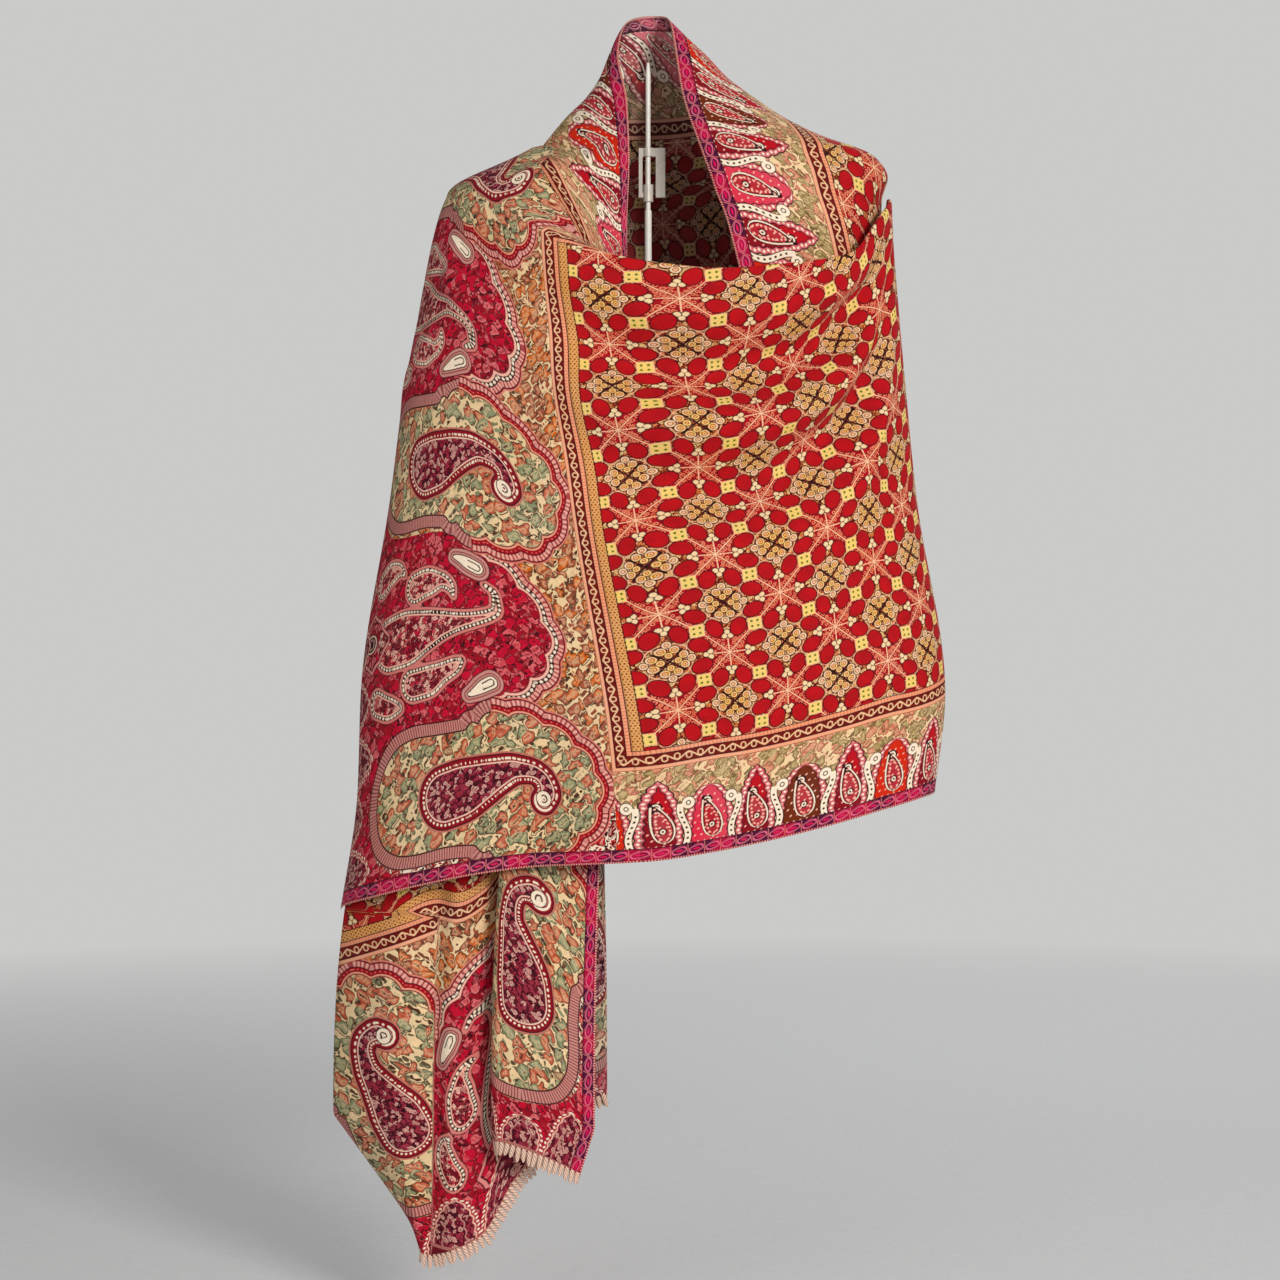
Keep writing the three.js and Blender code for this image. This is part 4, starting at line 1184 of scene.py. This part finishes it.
# Where the fringe would end on the tail, were its left flap laid straight.
TAIL_FOOT = table("v z", [
    (0, -272), (180, -330), (260, -374), (300, -392), (330, -455), (425, -402), (448, -404), (475, -391),
    (505, -345), (532, -308), (612, -302), (710, -331),
])
TAIL_GUARD_AT = 316
FLAP = {
    "x": -243, "z": -210, "turn": 20, "past": 88, "v": 363, "from_v": 329, "to_v": 426, "top_z": -100,
    "stretch": 0.1, "over": 150,
}


def tail_surface(s, t):
    return tail_point(CLOTH_WIDTH * (1 - s), t)


def tail_fields(s, t, points):
    v = CLOTH_WIDTH * (1 - s)
    x, z = points[:, 0] - FLAP["x"], points[:, 2] - FLAP["z"]
    past = TAIL_GUARD_AT - (points[:, 2] - through(TAIL_FOOT, "z", v))
    # The left flap hangs askew, so its weave is turned.
    turn = math.radians(FLAP["turn"])
    on = (v > FLAP["from_v"]) & (v < FLAP["to_v"]) & (points[:, 2] < FLAP["top_z"])
    down = x * math.sin(turn) - z * math.cos(turn)
    past = np.where(on, FLAP["past"] + down * (1 + FLAP["stretch"] * smooth(down / FLAP["over"])), past)
    v = np.where(on, FLAP["v"] + x * math.cos(turn) + z * math.sin(turn), v)
    return {"u": -past, "v": v, "s": past} | panel_fields(past, CLOTH_WIDTH - v)


# Past the seam the back stretch is made only down to here, where the front hides it.
TUCKED_UNDER = 0.52


def behind_seam(s, t):
    return s < SEAM_AT or t < TUCKED_UNDER


back_stretch = cloth_piece(
    "back_cloth", "back_stretch", back_point, cells(250, 170), back_fields, [field_face, field_reverse],
    behind_seam,
)
front_stretch = cloth_piece(
    "front_cloth", "front_stretch", front_surface, cells(150, 300),
    outer_fields(front_surface, 0, GUARD_AT, False), [field_face, field_reverse],
)
thrown_end = cloth_piece(
    "thrown_cloth", "thrown_end", thrown_surface, cells(150, 310),
    outer_fields(thrown_surface, GUARD_AT, THROWN_EDGE_AT, True), [panel_face, panel_reverse],
)
tail_end = cloth_piece(
    "tail_cloth", "tail_end", tail_surface, cells(260, 180), tail_fields, [panel_face, panel_reverse]
)

# ---------------------------------------------------------------- the fringes
STRANDS = 120
STRAND = {
    "length": 13, "shortest": 0.82, "longest": 1.06, "inside": 1.5, "root": 2.8, "tip": 1.9, "flat": 0.3,
    "sides": 6, "cuts": 5, "plies": 2, "turns": 4, "droop": 0.5, "sway": 1.8, "forward": 0.8,
    "narrows_past": 0.99, "narrows_by": 0.7,
}
# How finely the cloth's edge is measured, and the share of it that gives its direction.
EDGE_SAMPLES = 801
EDGE_STEP = 0.005


def fringe_piece(name, node, edge_at, inside_at, material, seed):
    """Twisted warp ends along an edge of the cloth."""
    rng = np.random.default_rng(seed)
    bm = bmesh.new()
    twist = bm.verts.layers.float.new("twist")
    tried = np.linspace(0, 1, EDGE_SAMPLES)
    steps = np.linalg.norm(np.diff([edge_at(k) for k in tried], axis=0), axis=1)
    reached = np.concatenate([[0], np.cumsum(steps)])
    for i in range(STRANDS):
        share = float(np.interp((i + 0.5) / STRANDS * reached[-1], reached, tried))
        here, inner = edge_at(share), inside_at(share)
        along = edge_at(min(share + EDGE_STEP, 1)) - edge_at(max(share - EDGE_STEP, 0))
        along /= np.linalg.norm(along)
        hang = here - inner
        hang -= along * hang.dot(along)
        hang = hang / np.linalg.norm(hang) + np.array([0, 0, -STRAND["droop"]])
        hang /= np.linalg.norm(hang)
        length = STRAND["length"] * rng.uniform(STRAND["shortest"], STRAND["longest"])
        lean = along * rng.uniform(-1, 1) * STRAND["sway"]
        lean = lean + np.array([0, -1, 0]) * rng.uniform(-0.5, 1) * STRAND["forward"]
        across = np.cross(along, hang)
        made = bmesh.ops.create_grid(bm, x_segments=STRAND["sides"], y_segments=STRAND["cuts"], size=0.5)
        for vert in made["verts"]:
            angle, down = (vert.co.x + 0.5) * 2 * math.pi, vert.co.y + 0.5
            narrowed = (down > STRAND["narrows_past"]) * STRAND["narrows_by"]
            radius = mix(STRAND["root"], STRAND["tip"], down) * (1 - narrowed)
            place = here + hang * (down * length - STRAND["inside"]) + lean * down**2
            flat = across * math.sin(angle) * STRAND["flat"]
            vert[twist] = abs(angle / math.pi - 1) * STRAND["plies"] + down * STRAND["turns"]
            vert.co = Vector(place + (along * math.cos(angle) + flat) * radius) * MM
    bmesh.ops.remove_doubles(bm, verts=bm.verts, dist=0.00002)
    bmesh.ops.recalc_face_normals(bm, faces=bm.faces)
    mesh = as_mesh(name, bm)
    mesh.shade_smooth()
    piece = in_scene(name, mesh, [material])
    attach(piece, "root")
    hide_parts(node)
    return piece


def single(points):
    return np.asarray(points, float).reshape(-1, 3)[0]


def tail_row(share, up):
    return single(tail_point(np.array([CLOTH_WIDTH * (1 - share)]), np.array([up])))


def thrown_column(share, u):
    return single(outer_point(np.array([u]), up_to(np.array([share]))))


def twisted(name, colour, painted_valley_shade):
    """Twisted wool: the valleys between the plies are lower, and painted shade darkens them."""
    material, tree, shader = fresh(name)
    ply_height_and_shade = size_of(sine(from_mesh(tree, "twist"), 2))
    fuzz = even_grain(tree, 420.0, 3.0)
    feed(shader.inputs, {
        # The ply profile paints shade into the valleys between the plies, with random fuzz over it.
        "Base Color": over(ply_height_and_shade * 0.75 + fuzz * 0.35, colour, painted_valley_shade),
        "Roughness": maths("MULTIPLY_ADD", fuzz, 0.2, 0.72),
        "Specular IOR Level": WOOL_SHINE,
    })
    bumped(shader, ply_height_and_shade + fuzz * 0.4, 0.7, 0.0006)
    return material


# How far inside the edge the cloth's direction is taken, for the strands to hang from it.
INSIDE = 12
# The second colour is the painted shade in the valleys between the plies.
fringe_wool = twisted("fringe_wool", rgb("f3d5bd"), rgb("a8655c"))
tail_fringe = fringe_piece(
    "tail_fringe_strands", "tail_fringe", lambda k: tail_row(k, 0.0),
    lambda k: tail_row(k, INSIDE / CLOTH_WIDTH), fringe_wool, 3,
)
thrown_fringe = fringe_piece(
    "thrown_fringe_strands", "thrown_fringe", lambda k: thrown_column(k, THROWN_EDGE_AT),
    lambda k: thrown_column(k, THROWN_EDGE_AT - INSIDE), fringe_wool, 5,
)

# ---------------------------------------------------------------- the rod and its lock
HARD = {
    "rod_lower": plain("rod_white", rgb("f2efe6"), 0.3),
    "rod_clip": plain("clip_clear", rgb("f6efe2"), 0.15, transmission=0.35),
    "shoulder_yoke": plain("yoke_plain", rgb("dcdad2"), 0.4, 0.2),
}
HARD["rod_upper"] = HARD["rod_lower"]
for node, material in HARD.items():
    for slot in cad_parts[node].material_slots:
        slot.material = material

# ---------------------------------------------------------------- floor, room and light
FLOOR = {"z": -0.475, "reach": 6.0, "fades_from": 1.0, "fades_over": 2.0}
bm = bmesh.new()
bmesh.ops.create_grid(bm, x_segments=1, y_segments=1, size=FLOOR["reach"])
bmesh.ops.translate(bm, verts=bm.verts, vec=(0, 0, FLOOR["z"]))
floor_paint = plain("floor_paint", rgb("d9dadb"), 0.7, 0.3)
paint_tree = floor_paint.node_tree
place = Wire(paint_tree, paint_tree.nodes.new("ShaderNodeTexCoord").outputs["Object"])
flat_place = new_node("ShaderNodeVectorMath", {0: place, 1: (1, 1, 0)}, operation="MULTIPLY")
reach = new_node("ShaderNodeVectorMath", {0: Wire(paint_tree, flat_place.outputs[0])}, operation="LENGTH")
from_middle = Wire(paint_tree, reach.outputs["Value"])
gone_at = 1 + FLOOR["fades_from"] / FLOOR["fades_over"]
fade = maths("MULTIPLY_ADD", from_middle, -1 / FLOOR["fades_over"], gone_at, clamp=True)
feed(paint_tree.nodes["Principled BSDF"].inputs, {"Alpha": maths("SMOOTH_MIN", fade, 1.0, 0.3)})
floor = in_scene("floor", as_mesh("floor", bm), [floor_paint])

# The room is seen paler than the light that it gives.
world = bpy.data.worlds.new("room")
bpy.context.scene.world = world
world.use_nodes = True
room = world.node_tree
background = room.nodes["Background"]
background.inputs[0].default_value = rgb("d2d2d1")
path = room.nodes.new("ShaderNodeLightPath")
room.links.new(choose(Wire(room, path.outputs["Is Camera Ray"]), 0.92, 0.42).socket, background.inputs[1])


def lamp(name, place, aim, size, watts, colour):
    data = bpy.data.lights.new(name, "AREA")
    data.size = size
    data.energy = watts
    data.color = colour
    light = bpy.data.objects.new(name, data)
    light.location = place
    light.rotation_euler = (Vector(aim) - Vector(place)).to_track_quat("-Z", "Y").to_euler()
    bpy.context.scene.collection.objects.link(light)


lamp("key", (1.5, -2.8, 1.0), (0, 0, 0.1), 0.9, 82, (1.0, 0.97, 0.93))
lamp("fill", (-1.6, -1.8, 0.5), (0, 0, 0.0), 1.4, 10, (1.0, 0.96, 0.92))
lamp("back_light", (0.8, 1.9, 1.6), (0, 0, 0.1), 1.4, 24, (0.97, 0.98, 1.0))

bpy.context.scene.view_settings.view_transform = "Standard"
